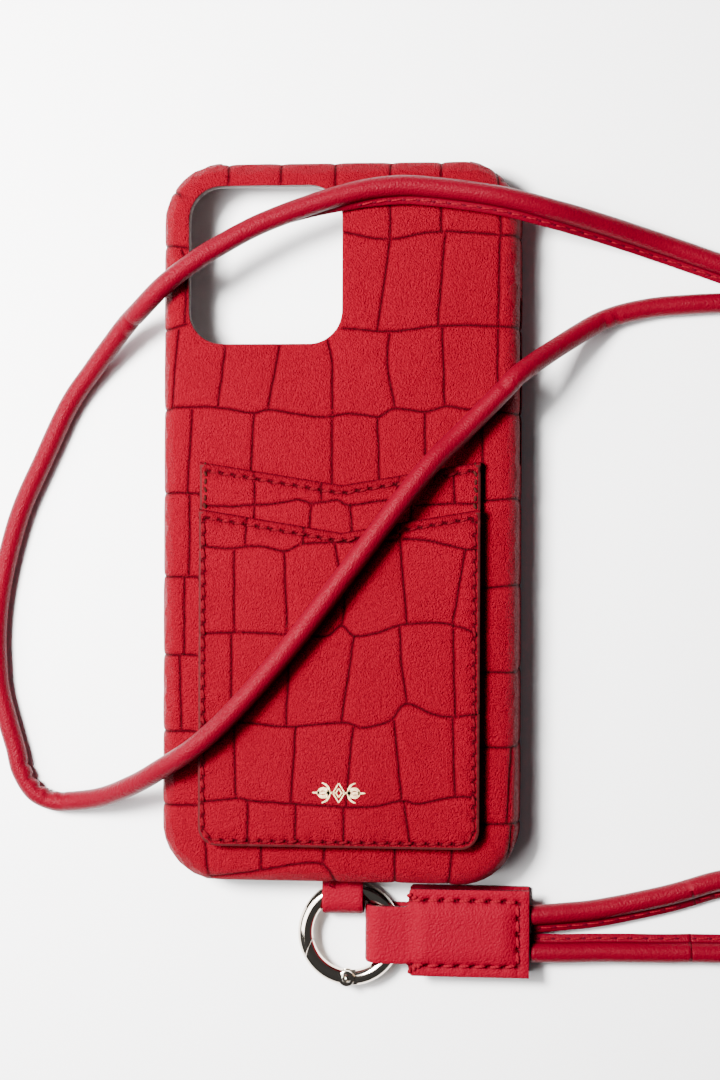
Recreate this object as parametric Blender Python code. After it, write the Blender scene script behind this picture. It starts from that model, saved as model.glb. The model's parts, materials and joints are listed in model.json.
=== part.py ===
"""Phone wallet case: a leather-covered hard shell with two stacked card pockets on its back, and a
crossbody strap on a spring-gate ring. It lies face down: the open phone bay faces the table at z = 0,
the camera window is at the top left as seen from above, and the ring is below the bottom edge.

The layout is written in millimetres about the centre of the case, and place() moves it to the origin,
which is the middle of the base of everything except the strap.
"""

import math

import bmesh
import bpy
from mathutils import Matrix, Vector

MM = 0.001
GAP = 0.3
FINE_GAP = 0.15

# Case
CASE_WIDTH = 75.0
CASE_LENGTH = 151.5
CASE_HEIGHT = 11.2
CORNER_RADIUS = 12.5
SHOULDER_RADIUS = 3.5
SKIN = 0.6
SHELL_WALL = 0.85
SHELL_BACK = 1.0
LINING = 0.5
WALL = SKIN + GAP + SHELL_WALL
SHELL_TOP = CASE_HEIGHT - SKIN - GAP
BAY_TOP = SHELL_TOP - SHELL_BACK
LINING_TOP = BAY_TOP - GAP
LINING_FACE = LINING_TOP - LINING
LINING_MARGIN = 1.1
LINING_INSET = WALL + LINING_MARGIN
INNER_FILLET = 1.75

# Openings in the case
WINDOW_X = (-31.9, 0.5)
WINDOW_Y = (37.3, 70.5)
WINDOW_RADIUS = 7.0
TOP_CUT_X = (-25.4, 27.1)
BOTTOM_CUT_X = (-26.6, 22.7)
END_CUT_TOP = 8.0
END_CUT_DEPTH = 3.2
END_TRIM = 0.5
BUTTON_SLOT_Z = (2.2, 6.8)
VOLUME_SLOT_Y = (12.0, 47.5)
POWER_SLOT_Y = (16.0, 31.0)
SLOT_REACH = 3.0
PAST = 2.0

# Card pockets
LAYER = 0.7
POCKET_X = (-29.0, 29.5)
POCKET_BOTTOM = -67.4
POCKET_TOP = 12.5
POCKET_MIDDLE = 0.8
POCKET_CORNER = 4.0
REAR_DIP = 4.8
FRONT_TOP = 2.7
FRONT_DIP = 4.9
BACKING_BASE = CASE_HEIGHT + GAP
REAR_BASE = BACKING_BASE + LAYER + GAP
FRONT_BASE = REAR_BASE + LAYER + GAP
FRONT_FACE = FRONT_BASE + LAYER
THREAD_RADIUS = 0.2
STITCH_INSET = 1.1
HEM = 1.7
SEAM_DROP = 1.6
TACK_HALF = 0.35
TACK_SPAN = (-4.6, -0.8)
TACK_THICKNESS = 0.4
HEM_INSET = 1.0
FOIL_SIZE = (11.8, 4.9, 0.15)
FOIL_CENTRE = (0.5, -56.0)

# Ring and gate
RING_CENTRE = (2.0, -87.3)
RING_RADIUS = 9.5
WIRE_RADIUS = 1.65
RING_LEVEL = 3.15
GATE_START = 200.0
RIVET_ANGLE = 266.0
GATE_END = 278.0
NOSE_SLANT = 50.0
KNUCKLE_RADIUS = 2.2
TONGUE_HALF = 0.5
TONGUE_WIDTH = 1.2
RIVET_RADIUS = 0.6
RIVET_HEAD = 1.15
CHEEK = 1.2
SPRING_AIM = 235.0
SPRING_SPAN = (2.65, 4.8)
SPRING_TURNS = 5
SPRING_RADIUS = 0.5
SPRING_WIRE = 0.13
SPRING_BORE = 0.85

# Leather tab from the case to the ring
TAB_X = (-3.7, 4.9)
TAB_THICKNESS = 1.0
TAB_PATCH_WIDTH = 24.0
TAB_PATCH_Y = (-68.0, -46.0)
TAB_FOLD_Y = -80.2
TAB_LEVEL = 7.7
TAB_ENTRY = [(-72.4, 7.6), (-74.2, 7.05)]
TAB_DROP_Y = -76.4
TAB_TAIL = [(-75.7, 1.35), (-75.2, 2.9), (-75.2, 5.2)]
TAB_TAIL_Y = -76.7
TAB_PATCH_CORNER = 4.0

# Strap connector
CONNECTOR_X = (14.7, 39.9)
CONNECTOR_Y = (-95.5, -77.2)
NECK_Y = (-93.0, -81.0)
NECK_FOLD_X = 8.3
CONNECTOR_LEATHER = 1.15
FILLER_INSET = 0.5
CONNECTOR_STITCH = 2.3
CONNECTOR_STITCH_START = 0.6

# Strap
CORD_RADIUS = 2.25
CORD_STEP = 13.0
END_UPPER = [
    (40.2, -82.8, 3.15), (47.0, -82.2, 2.9), (54.8, -81.3, 2.5), (67.2, -78.6, 2.3),
    (74.0, -76.7, 2.3),
]
END_LOWER = [
    (40.2, -90.6, 3.15), (47.0, -90.6, 2.9), (55.3, -90.4, 2.5), (68.1, -90.3, 2.3),
    (74.0, -90.1, 2.3),
]
LOOP_INNER = [
    (74.3, -76.6, 2.3), (80.7, -74.7, 2.3), (100.0, -70.8, 2.3), (120.0, -68.8, 2.3),
    (140.0, -67.8, 2.3), (160.0, -65.4, 2.3), (180.0, -57.9, 2.3), (196.0, -45.6, 2.3),
    (205.5, -29.7, 2.3), (209.0, -10.9, 2.3), (206.0, 7.8, 2.3), (196.0, 25.5, 2.3),
    (180.0, 37.8, 2.3), (160.0, 43.6, 2.3), (140.0, 45.6, 2.3), (120.0, 46.3, 2.3),
    (100.0, 46.5, 2.3), (83.1, 46.4, 2.3),
]
LOOP_OUTER = [
    (74.3, -90.1, 2.3), (81.0, -90.1, 2.3), (100.0, -89.9, 2.3), (120.0, -89.4, 2.3),
    (140.0, -87.9, 2.3), (160.0, -84.2, 2.3), (180.0, -76.8, 2.3), (198.0, -64.4, 2.3),
    (210.5, -47.5, 2.3), (217.5, -28.7, 2.3), (219.0, -8.9, 2.3), (216.0, 10.7, 2.3),
    (207.0, 28.4, 2.3), (193.0, 41.7, 2.3), (176.0, 49.5, 2.3), (156.0, 53.3, 2.3),
    (136.0, 53.6, 2.3), (116.0, 52.5, 2.3), (100.0, 51.8, 2.3), (91.0, 52.0, 2.3),
    (83.4, 53.3, 2.3),
]
CORD_MAIN = [
    (82.7, 53.5, 2.3), (80.2, 54.3, 2.3), (67.4, 58.7, 3.3), (54.4, 62.3, 7.8), (44.0, 64.7, 12.0),
    (33.5, 67.1, 13.85), (20.8, 69.0, 13.9), (11.4, 69.5, 13.9), (0.8, 67.8, 13.9),
    (-15.0, 62.5, 13.9), (-25.6, 57.1, 13.9), (-31.4, 53.4, 13.85), (-36.9, 49.2, 13.5),
    (-42.3, 44.6, 10.7), (-46.6, 41.1, 7.2), (-53.9, 32.8, 3.5), (-59.5, 25.1, 2.4),
    (-65.0, 13.5, 2.3), (-69.5, 3.6, 2.3), (-72.2, -5.0, 2.3), (-74.3, -14.6, 2.3),
    (-75.2, -23.2, 2.3), (-75.1, -29.6, 2.3), (-74.5, -36.1, 2.3), (-72.9, -42.5, 2.3),
    (-71.0, -48.9, 2.3), (-69.7, -53.8, 2.3), (-66.8, -58.3, 2.3), (-62.8, -60.2, 2.3),
    (-59.2, -60.3, 3.0), (-51.2, -58.8, 6.3), (-43.3, -55.4, 10.8), (-37.0, -51.7, 14.4),
    (-29.2, -46.5, 17.4), (-21.4, -39.3, 17.6), (-10.2, -26.5, 17.6), (1.9, -10.8, 17.6),
    (13.8, 5.0, 17.6), (19.8, 12.4, 16.7), (25.3, 18.1, 14.8), (33.7, 26.7, 13.9),
    (37.9, 31.0, 13.2), (46.6, 37.5, 7.6), (55.3, 42.9, 3.2), (64.1, 45.3, 2.3), (72.9, 46.1, 2.3),
    (80.4, 46.4, 2.3), (82.7, 46.4, 2.3),
]

# The base of everything but the strap spans the case's left wall to the connector's right end,
# and the ring's lowest point to the case's top wall.
BASE_X = (-CASE_WIDTH / 2, CONNECTOR_X[1])
BASE_Y = (RING_CENTRE[1] - RING_RADIUS - WIRE_RADIUS, CASE_LENGTH / 2)
ORIGIN = Vector((sum(BASE_X) / 2, sum(BASE_Y) / 2, 0.0))

LEATHER = ("coral_leather", (0.72, 0.10, 0.17), 0.5, 0.0)
SHELL = ("shell_plastic", (0.10, 0.07, 0.06), 0.45, 0.0)
MICROFIBRE = ("microfibre", (0.16, 0.11, 0.10), 0.95, 0.0)
THREAD = ("thread", (0.80, 0.28, 0.32), 0.6, 0.0)
METAL = ("chrome", (0.82, 0.78, 0.72), 0.15, 1.0)
GOLD = ("gold_foil", (0.85, 0.62, 0.28), 0.3, 1.0)
FILLER = ("filler_board", (0.45, 0.12, 0.14), 0.8, 0.0)


# Helpers

def clear_scene():
    for old in list(bpy.data.objects):
        bpy.data.objects.remove(old, do_unlink=True)


def material(spec):
    """The named Principled material, made the first time it is asked for."""
    name, colour, roughness, metallic = spec
    found = bpy.data.materials.get(name)
    if found:
        return found
    made = bpy.data.materials.new(name)
    made.use_nodes = True
    shader = made.node_tree.nodes["Principled BSDF"]
    shader.inputs["Base Color"].default_value = (*colour, 1.0)
    shader.inputs["Roughness"].default_value = roughness
    shader.inputs["Metallic"].default_value = metallic
    made.diffuse_color = (*colour, 1.0)
    return made


def place(point):
    """A layout point in millimetres as a world point in metres."""
    return (Vector(point) - ORIGIN) * MM


def add(name, mesh, spec):
    made = bpy.data.objects.new(name, mesh)
    bpy.context.scene.collection.objects.link(made)
    if spec:
        mesh.materials.append(material(spec))
    return made


def solid(name, bm, spec, pivot=(0.0, 0.0, 0.0)):
    """An object from a bmesh drawn in layout millimetres, with its origin at the layout pivot."""
    bmesh.ops.recalc_face_normals(bm, faces=bm.faces)
    bmesh.ops.transform(bm, matrix=Matrix.Translation(-Vector(pivot)), verts=bm.verts)
    bmesh.ops.scale(bm, vec=(MM, MM, MM), verts=bm.verts)
    mesh = bpy.data.meshes.new(name)
    bm.to_mesh(mesh)
    bm.free()
    made = add(name, mesh, spec)
    made.location = place(pivot)
    return made


def smooth(piece, angle=40.0):
    piece.data.shade_smooth()
    piece.data.set_sharp_from_angle(angle=math.radians(angle))
    return piece


def loft(bm, rings):
    """One closed solid through rings of equal length, with a flat face on the first and last."""
    rows = [[bm.verts.new(p) for p in ring] for ring in rings]
    for low, high in zip(rows, rows[1:]):
        for i in range(len(low)):
            j = (i + 1) % len(low)
            bm.faces.new((low[i], low[j], high[j], high[i]))
    bm.faces.new(list(reversed(rows[0])))
    bm.faces.new(rows[-1])


def arc(centre, radius, start, end, steps):
    """Points in the XY plane along an arc, angles in degrees."""
    turns = [math.radians(start + (end - start) * i / steps) for i in range(steps + 1)]
    return [(centre[0] + radius * math.cos(t), centre[1] + radius * math.sin(t)) for t in turns]


def rounded(xs, ys, radius, steps=6):
    """A rounded rectangle, counter-clockwise, with the same number of points for any radius."""
    corners = [(xs[1], ys[1], 0), (xs[0], ys[1], 90), (xs[0], ys[0], 180), (xs[1], ys[0], 270)]
    points = []
    for x, y, start in corners:
        centre = (x - math.copysign(radius, x - sum(xs) / 2), y - math.copysign(radius, y - sum(ys) / 2))
        points += arc(centre, radius, start, start + 90, steps)
    return points


def at(outline, z):
    return [(x, y, z) for x, y in outline]


def case_outline(inset, steps=6):
    half_x = CASE_WIDTH / 2 - inset
    half_y = CASE_LENGTH / 2 - inset
    return rounded((-half_x, half_x), (-half_y, half_y), CORNER_RADIUS - inset, steps)


def prism(bm, outline, low, high):
    loft(bm, [at(outline, low), at(outline, high)])


def plate(name, outline, low, high, spec):
    bm = bmesh.new()
    prism(bm, outline, low, high)
    return solid(name, bm, spec)


def box(bm, xs, ys, zs):
    prism(bm, [(xs[0], ys[0]), (xs[1], ys[0]), (xs[1], ys[1]), (xs[0], ys[1])], zs[0], zs[1])


def cutter(name, bm):
    """A guide solid that a Boolean subtracts: never part of the object."""
    made = solid(name, bm, None)
    made.hide_render = True
    made.display_type = "WIRE"
    return made


def subtract(piece, tool):
    cut = piece.modifiers.new("cut_" + tool.name, "BOOLEAN")
    cut.operation = "DIFFERENCE"
    cut.object = tool
    cut.solver = "EXACT"


def tub_rings(inset, thickness, back, rim, top, fillet, inner_fillet, steps=5):
    """Rings of an upturned tub: up the inside, over the rim, and up the outside."""
    inner = []
    outer = []
    for i in range(steps + 1):
        turn = math.radians(90.0 * i / steps)
        shrink = 1.0 - math.cos(turn)
        rise = 1.0 - math.sin(turn)
        inner.append(at(case_outline(inset + thickness + inner_fillet * shrink),
                        top - back - inner_fillet * rise))
        outer.append(at(case_outline(inset + fillet * shrink), top - fillet * rise))
    inner_rim = at(case_outline(inset + thickness), rim)
    outer_rim = at(case_outline(inset), rim)
    return inner[::-1] + [inner_rim, outer_rim] + outer


def tube(bm, points, radius, sides):
    """A round tube along layout points, kept upright by the world's Z axis."""
    rings = []
    for i, point in enumerate(points):
        before = points[max(i - 1, 0)]
        after = points[min(i + 1, len(points) - 1)]
        along = (Vector(after) - Vector(before)).normalized()
        side = along.cross(Vector((0.0, 0.0, 1.0))).normalized()
        up = side.cross(along)
        ring = []
        for k in range(sides):
            turn = 2.0 * math.pi * k / sides
            ring.append(Vector(point) + side * radius * math.cos(turn) + up * radius * math.sin(turn))
        rings.append(ring)
    loft(bm, rings)


def on_ring(angle, radius=RING_RADIUS, z=RING_LEVEL):
    turn = math.radians(angle)
    return (RING_CENTRE[0] + radius * math.cos(turn), RING_CENTRE[1] + radius * math.sin(turn), z)


def ribbon(points, thickness):
    """The closed outline of a strip of even thickness whose middle follows the points."""
    left = []
    right = []
    for i, point in enumerate(points):
        before = Vector(points[max(i - 1, 0)])
        after = Vector(points[min(i + 1, len(points) - 1)])
        here = Vector(point)
        into = (here - before).normalized() if i else (after - here).normalized()
        out = (after - here).normalized() if i < len(points) - 1 else into
        along = (into + out).normalized()
        reach = thickness / 2 / max(along.dot(into), 0.7)
        normal = Vector((-along.y, along.x))
        left.append(here + normal * reach)
        right.append(here - normal * reach)
    return left + right[::-1]


def smooth_route(points, step):
    """Evenly spaced points on a Catmull-Rom curve through the route's own points."""
    knots = [Vector(p) for p in points]
    knots = [knots[0] * 2 - knots[1]] + knots + [knots[-1] * 2 - knots[-2]]
    fine = []
    parts = 12
    for a, b, c, d in zip(knots, knots[1:], knots[2:], knots[3:]):
        for i in range(parts):
            t = i / parts
            fine.append(0.5 * (2 * b + (c - a) * t + (2 * a - 5 * b + 4 * c - d) * t ** 2
                               + (3 * b - a - 3 * c + d) * t ** 3))
    fine.append(Vector(points[-1]))
    lengths = [0.0]
    for a, b in zip(fine, fine[1:]):
        lengths.append(lengths[-1] + (b - a).length)
    count = max(2, round(lengths[-1] / step))
    route = []
    k = 0
    for i in range(count + 1):
        goal = lengths[-1] * i / count
        while k < len(fine) - 2 and lengths[k + 1] < goal:
            k += 1
        share = (goal - lengths[k]) / (lengths[k + 1] - lengths[k])
        route.append(fine[k].lerp(fine[k + 1], share))
    return route


# Case

def case_cutters():
    """The camera window first, then the side button slots and the open ends between the clips."""
    window = bmesh.new()
    prism(window, rounded(WINDOW_X, WINDOW_Y, WINDOW_RADIUS), BUTTON_SLOT_Z[0], CASE_HEIGHT + PAST)
    slots = bmesh.new()
    side = CASE_WIDTH / 2
    box(slots, (side - SLOT_REACH, side + PAST), VOLUME_SLOT_Y, BUTTON_SLOT_Z)
    box(slots, (-side - PAST, -side + SLOT_REACH), POWER_SLOT_Y, BUTTON_SLOT_Z)
    tools = [cutter("cutter_window", window), cutter("cutter_slots", slots)]
    edge = CASE_LENGTH / 2
    for end, xs, sign in (("top", TOP_CUT_X, 1), ("bottom", BOTTOM_CUT_X, -1)):
        for part, inner, zs in (
            ("wall", edge - END_CUT_DEPTH, (-PAST, END_CUT_TOP)),
            ("lip", edge - END_TRIM, (END_CUT_TOP - END_TRIM, CASE_HEIGHT + PAST)),
        ):
            bm = bmesh.new()
            box(bm, xs, sorted((sign * inner, sign * (edge + PAST))), zs)
            tools.append(cutter(f"cutter_{end}_{part}", bm))
    return tools


def make_case(cutters):
    shell = bmesh.new()
    shoulder = SHOULDER_RADIUS - SKIN - GAP
    loft(shell, tub_rings(SKIN + GAP, SHELL_WALL, SHELL_BACK, 0.0, SHELL_TOP, shoulder, INNER_FILLET))
    inner_shell = solid("inner_shell", shell, SHELL)
    skin = bmesh.new()
    loft(skin, tub_rings(0.0, SKIN, SKIN, GAP, CASE_HEIGHT, SHOULDER_RADIUS, SHOULDER_RADIUS - SKIN))
    leather_skin = solid("leather_skin", skin, LEATHER)
    lining = plate("microfibre_lining", case_outline(LINING_INSET), LINING_FACE, LINING_TOP, MICROFIBRE)
    for piece in (inner_shell, leather_skin):
        for tool in cutters:
            subtract(piece, tool)
    subtract(lining, cutters[0])
    for piece in (inner_shell, leather_skin):
        smooth(piece)


# Pockets

def pocket_outline(top, dip):
    """A pocket sheet: rounded lower corners and an upper edge that dips to a shallow V."""
    left, right = POCKET_X
    base = POCKET_BOTTOM + POCKET_CORNER
    return (
        [(right, top), (POCKET_MIDDLE, top - dip), (left, top)]
        + arc((left + POCKET_CORNER, base), POCKET_CORNER, 180, 270, 5)
        + arc((right - POCKET_CORNER, base), POCKET_CORNER, 270, 360, 5)
    )


def make_pockets():
    plate("pocket_backing", pocket_outline(POCKET_TOP, REAR_DIP), BACKING_BASE, BACKING_BASE + LAYER,
          LEATHER)
    plate("rear_card_pocket", pocket_outline(POCKET_TOP, REAR_DIP), REAR_BASE, REAR_BASE + LAYER, LEATHER)
    plate("front_card_pocket", pocket_outline(FRONT_TOP, FRONT_DIP), FRONT_BASE, FRONT_FACE, LEATHER)


def thread_line(name, points, sides=6):
    bm = bmesh.new()
    tube(bm, points, THREAD_RADIUS, sides)
    return smooth(solid(name, bm, THREAD), 60.0)


def make_threads():
    left, right = POCKET_X[0] + STITCH_INSET, POCKET_X[1] - STITCH_INSET
    low = POCKET_BOTTOM + STITCH_INSET
    turn = POCKET_CORNER - STITCH_INSET
    level = FRONT_FACE + FINE_GAP + THREAD_RADIUS
    side_top = FRONT_TOP - HEM - SEAM_DROP
    edge = (
        [(left, side_top)]
        + arc((left + turn, low + turn), turn, 180, 270, 4)
        + arc((right - turn, low + turn), turn, 270, 360, 4)
        + [(right, side_top)]
    )
    thread_line("pocket_edge_thread", at(edge, level))
    for name, top, dip, face in (
        ("rear_hem_thread", POCKET_TOP, REAR_DIP, REAR_BASE + LAYER),
        ("front_hem_thread", FRONT_TOP, FRONT_DIP, FRONT_FACE),
    ):
        hem = [
            (left + HEM_INSET, top - HEM),
            (POCKET_MIDDLE, top - dip - HEM),
            (right - HEM_INSET, top - HEM),
        ]
        thread_line(name, at(hem, face + FINE_GAP + THREAD_RADIUS))
    tack_level = REAR_BASE + LAYER + FINE_GAP
    for side, x in (("left", left), ("right", right)):
        tack = bmesh.new()
        box(tack, (x - TACK_HALF, x + TACK_HALF), [POCKET_TOP + end for end in TACK_SPAN],
            (tack_level, tack_level + TACK_THICKNESS))
        solid(f"pocket_tack_{side}", tack, THREAD)


def make_foil():
    length, height, depth = FOIL_SIZE
    xs = (FOIL_CENTRE[0] - length / 2, FOIL_CENTRE[0] + length / 2)
    ys = (FOIL_CENTRE[1] - height / 2, FOIL_CENTRE[1] + height / 2)
    base = FRONT_FACE + FINE_GAP
    plate("foil_ornament", rounded(xs, ys, 2.0, 4), base, base + depth, GOLD)


# Tab

def tab_route():
    """The strip's middle in the YZ plane: inner patch, out of the case, round the wire and back."""
    reach = WIRE_RADIUS + GAP + TAB_THICKNESS / 2
    upper = [(TAB_PATCH_Y[0] + 1.0, TAB_LEVEL), *TAB_ENTRY, (TAB_DROP_Y, RING_LEVEL + reach)]
    fold = arc((TAB_FOLD_Y, RING_LEVEL), reach, 90, 270, 10)
    return upper + fold + [(TAB_TAIL_Y, RING_LEVEL - reach), *TAB_TAIL]


def make_tab():
    strip = bmesh.new()
    profile = ribbon(tab_route(), TAB_THICKNESS)
    loft(strip, [[(x, p.x, p.y) for p in profile] for x in TAB_X])
    tab = solid("ring_tab", strip, LEATHER)
    middle = sum(TAB_X) / 2
    half = TAB_PATCH_WIDTH / 2
    patch = bmesh.new()
    xs = (middle - half, middle + half)
    low = TAB_LEVEL - TAB_THICKNESS / 2
    prism(patch, rounded(xs, TAB_PATCH_Y, TAB_PATCH_CORNER, 4), low, low + TAB_THICKNESS)
    patch_tool = cutter("guide_tab_patch", patch)
    join = tab.modifiers.new("patch", "BOOLEAN")
    join.operation = "UNION"
    join.object = patch_tool
    join.solver = "EXACT"
    return tab


# Ring, gate and spring

def arc_tube(bm, start, end, steps, sides=12):
    points = [on_ring(start + (end - start) * i / steps) for i in range(steps + 1)]
    tube(bm, points, WIRE_RADIUS, sides)


def disc(bm, centre, radius, low, high, sides=20):
    prism(bm, arc(centre, radius, 0, 360 - 360 / sides, sides - 1), low, high)


def slant_block(name, keep):
    """A block that trims one side of the slanted joint between the ring's nose and the gate's tip.
    The nose lies outside the tip, so that the gate can only open inward."""
    turn = math.radians(GATE_START)
    outward = Vector((math.cos(turn), math.sin(turn), 0.0))
    to_nose = Vector((math.sin(turn), -math.cos(turn), 0.0))
    slant = math.radians(NOSE_SLANT)
    normal = to_nose * math.cos(slant) + outward * math.sin(slant)
    across = normal.cross(Vector((0.0, 0.0, 1.0)))
    side = 1.0 if keep == "gate" else -1.0
    reach = 6.0
    near = Vector(on_ring(GATE_START)) - normal * side * FINE_GAP
    far = near + normal * side * reach
    corners = [near - across * reach, near + across * reach, far + across * reach, far - across * reach]
    bm = bmesh.new()
    prism(bm, [(c.x, c.y) for c in corners], RING_LEVEL - 3.0, RING_LEVEL + 3.0)
    return cutter(name, bm)


def rivet_axes():
    """The rivet's centre, and the unit directions outward and along the wire past the gate."""
    turn = math.radians(RIVET_ANGLE)
    outward = Vector((math.cos(turn), math.sin(turn), 0.0))
    onward = Vector((-math.sin(turn), math.cos(turn), 0.0))
    return Vector(on_ring(RIVET_ANGLE)), outward, onward


def knuckle_block():
    """Everything past the rivet except the round end of the gate."""
    centre, outward, onward = rivet_axes()
    points = []
    for i in range(9):
        turn = math.pi * i / 8
        points.append(centre + (outward * math.cos(turn) + onward * math.sin(turn)) * KNUCKLE_RADIUS)
    points += [centre - outward * 4.5, centre - outward * 4.5 + onward * 6.0]
    points += [centre + outward * 4.5 + onward * 6.0, centre + outward * 4.5]
    bm = bmesh.new()
    prism(bm, [(p.x, p.y) for p in points], RING_LEVEL - 3.0, RING_LEVEL + 3.0)
    return cutter("cutter_gate_end", bm)


def slot_block():
    """The slot that leaves two cheeks on the gate for the ring's tongue."""
    centre, outward, onward = rivet_axes()
    back = centre - onward * 1.75
    front = centre + onward * 5.0
    half = TONGUE_HALF + GAP
    corners = [back - outward * 3.0, front - outward * 3.0, front + outward * 3.0, back + outward * 3.0]
    bm = bmesh.new()
    prism(bm, [(c.x, c.y) for c in corners], RING_LEVEL - half, RING_LEVEL + half)
    return cutter("cutter_gate_slot", bm)


def rivet_disc(name, radius, low, high):
    bm = bmesh.new()
    disc(bm, on_ring(RIVET_ANGLE), radius, RING_LEVEL + low, RING_LEVEL + high)
    return cutter(name, bm)


def make_ring():
    bm = bmesh.new()
    arc_tube(bm, GATE_END - 6.0, 360.0 + GATE_START + 12.0, 44)
    ring = solid("ring_body", bm, METAL)
    subtract(ring, slant_block("cutter_nose", "nose"))
    subtract(ring, rivet_disc("cutter_ring_end", KNUCKLE_RADIUS + GAP, -3.0, 3.0))
    centre, outward, onward = rivet_axes()
    outline = []
    for i in range(9):
        turn = math.pi * i / 8
        outline.append(centre + (outward * math.cos(turn) - onward * math.sin(turn)) * TONGUE_WIDTH)
    outline += [centre - outward * TONGUE_WIDTH + onward * 3.6, centre + outward * 0.6 + onward * 3.6]
    tongue = bmesh.new()
    prism(tongue, [(p.x, p.y) for p in outline], RING_LEVEL - TONGUE_HALF, RING_LEVEL + TONGUE_HALF)
    guide = cutter("guide_tongue", tongue)
    join = ring.modifiers.new("tongue", "BOOLEAN")
    join.operation = "UNION"
    join.object = guide
    join.solver = "EXACT"
    subtract(ring, rivet_disc("cutter_tongue_hole", RIVET_RADIUS + FINE_GAP, -3.0, 3.0))
    smooth(ring)


def make_gate():
    bm = bmesh.new()
    arc_tube(bm, GATE_START - 12.0, GATE_END + 4.0, 16)
    pivot = on_ring(RIVET_ANGLE)
    gate = solid("ring_gate", bm, METAL, pivot)
    centre, _, _ = rivet_axes()
    aim = (Vector(on_ring(SPRING_AIM)) - centre).normalized()
    bore = bmesh.new()
    tube(bore, [centre + aim * 1.2, centre + aim * 5.1], SPRING_BORE, 10)
    tools = [
        slant_block("cutter_tip", "gate"),
        knuckle_block(),
        slot_block(),
        rivet_disc("cutter_gate_hole", RIVET_RADIUS + FINE_GAP, -3.0, 3.0),
        rivet_disc("cutter_upper_seat", RIVET_HEAD + FINE_GAP, CHEEK, 3.0),
        rivet_disc("cutter_lower_seat", RIVET_HEAD + FINE_GAP, -3.0, -CHEEK),
        cutter("cutter_spring_bore", bore),
    ]
    for tool in tools:
        subtract(gate, tool)
    smooth(gate)
    make_spring(centre, aim)


def make_spring(centre, aim):
    side = aim.cross(Vector((0.0, 0.0, 1.0)))
    up = Vector((0.0, 0.0, 1.0))
    points = []
    count = SPRING_TURNS * 12
    for i in range(count + 1):
        turn = 2.0 * math.pi * i / 12
        along = SPRING_SPAN[0] + (SPRING_SPAN[1] - SPRING_SPAN[0]) * i / count
        points.append(centre + aim * along + (side * math.cos(turn) + up * math.sin(turn)) * SPRING_RADIUS)
    coil = bmesh.new()
    tube(coil, points, SPRING_WIRE, 5)
    smooth(solid("gate_spring", coil, METAL), 80.0)
    plunger = bmesh.new()
    tube(plunger, [centre + aim * 1.42, centre + aim * (SPRING_SPAN[0] - FINE_GAP * 2)], RIVET_RADIUS, 10)
    smooth(solid("spring_plunger", plunger, METAL))


def make_rivet():
    centre = on_ring(RIVET_ANGLE)
    seat = CHEEK + FINE_GAP
    profile = [(0.85, -seat - 0.4), (RIVET_HEAD, -seat - 0.3), (RIVET_HEAD, -seat), (RIVET_RADIUS, -seat)]
    profile += [(radius, -level) for radius, level in reversed(profile)]
    bm = bmesh.new()
    loft(bm, [at(arc(centre, r, 0, 342, 19), RING_LEVEL + level) for r, level in profile])
    smooth(solid("gate_rivet", bm, METAL))


# Connector

def make_connector():
    reach = WIRE_RADIUS + GAP + CONNECTOR_LEATHER / 2
    right = CONNECTOR_X[1]
    fold = arc((NECK_FOLD_X, RING_LEVEL), reach, 90, 270, 12)
    middle = [(right, RING_LEVEL + reach)] + fold + [(right, RING_LEVEL - reach)]
    profile = ribbon(middle, CONNECTOR_LEATHER)
    bm = bmesh.new()
    loft(bm, [[(p.x, y, p.y) for p in profile] for y in CONNECTOR_Y])
    leather = solid("connector_leather", bm, LEATHER)
    sides = ((NECK_Y[1], CONNECTOR_Y[1] + PAST), (CONNECTOR_Y[0] - PAST, NECK_Y[0]))
    for i, ys in enumerate(sides):
        block = bmesh.new()
        box(block, (0.0, CONNECTOR_X[0]), ys, (-PAST, CASE_HEIGHT))
        subtract(leather, cutter(f"cutter_neck_{i}", block))
    inner = RING_LEVEL - WIRE_RADIUS
    filler = bmesh.new()
    filler_ys = (CONNECTOR_Y[0] + FILLER_INSET, CONNECTOR_Y[1] - FILLER_INSET)
    box(filler, (CONNECTOR_X[0] + GAP, right - GAP), filler_ys, (inner, 2 * RING_LEVEL - inner))
    solid("connector_filler", filler, FILLER)
    level = RING_LEVEL + reach + CONNECTOR_LEATHER / 2 + FINE_GAP + THREAD_RADIUS
    ys = (CONNECTOR_Y[0] + CONNECTOR_STITCH, CONNECTOR_Y[1] - CONNECTOR_STITCH)
    xs = (CONNECTOR_X[0] + CONNECTOR_STITCH_START, right - CONNECTOR_STITCH)
    line = [(xs[0], ys[1]), (xs[1], ys[1]), (xs[1], ys[0]), (xs[0], ys[0])]
    thread_line("connector_thread", at(line, level))


# Strap

def make_cord(name, points):
    """A plain round tube along a smooth curve through the route's points."""
    curve = bpy.data.curves.new(name, "CURVE")
    curve.dimensions = "3D"
    curve.bevel_depth = CORD_RADIUS * MM
    curve.bevel_resolution = 2
    curve.use_fill_caps = True
    spline = curve.splines.new("POLY")
    route = smooth_route(points, CORD_STEP)
    spline.points.add(len(route) - 1)
    for knot, point in zip(spline.points, route):
        knot.co = (*place(point), 1.0)
    curve.materials.append(material(LEATHER))
    made = bpy.data.objects.new(name, curve)
    bpy.context.scene.collection.objects.link(made)


def main():
    clear_scene()
    make_case(case_cutters())
    make_pockets()
    make_threads()
    make_foil()
    make_tab()
    make_ring()
    make_gate()
    make_rivet()
    make_connector()
    for name, points in (
        ("strap_end_upper", END_UPPER),
        ("strap_end_lower", END_LOWER),
        ("strap_loop_inner", LOOP_INNER),
        ("strap_loop_outer", LOOP_OUTER),
        ("strap_cord", CORD_MAIN),
    ):
        make_cord(name, points)


main()
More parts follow.
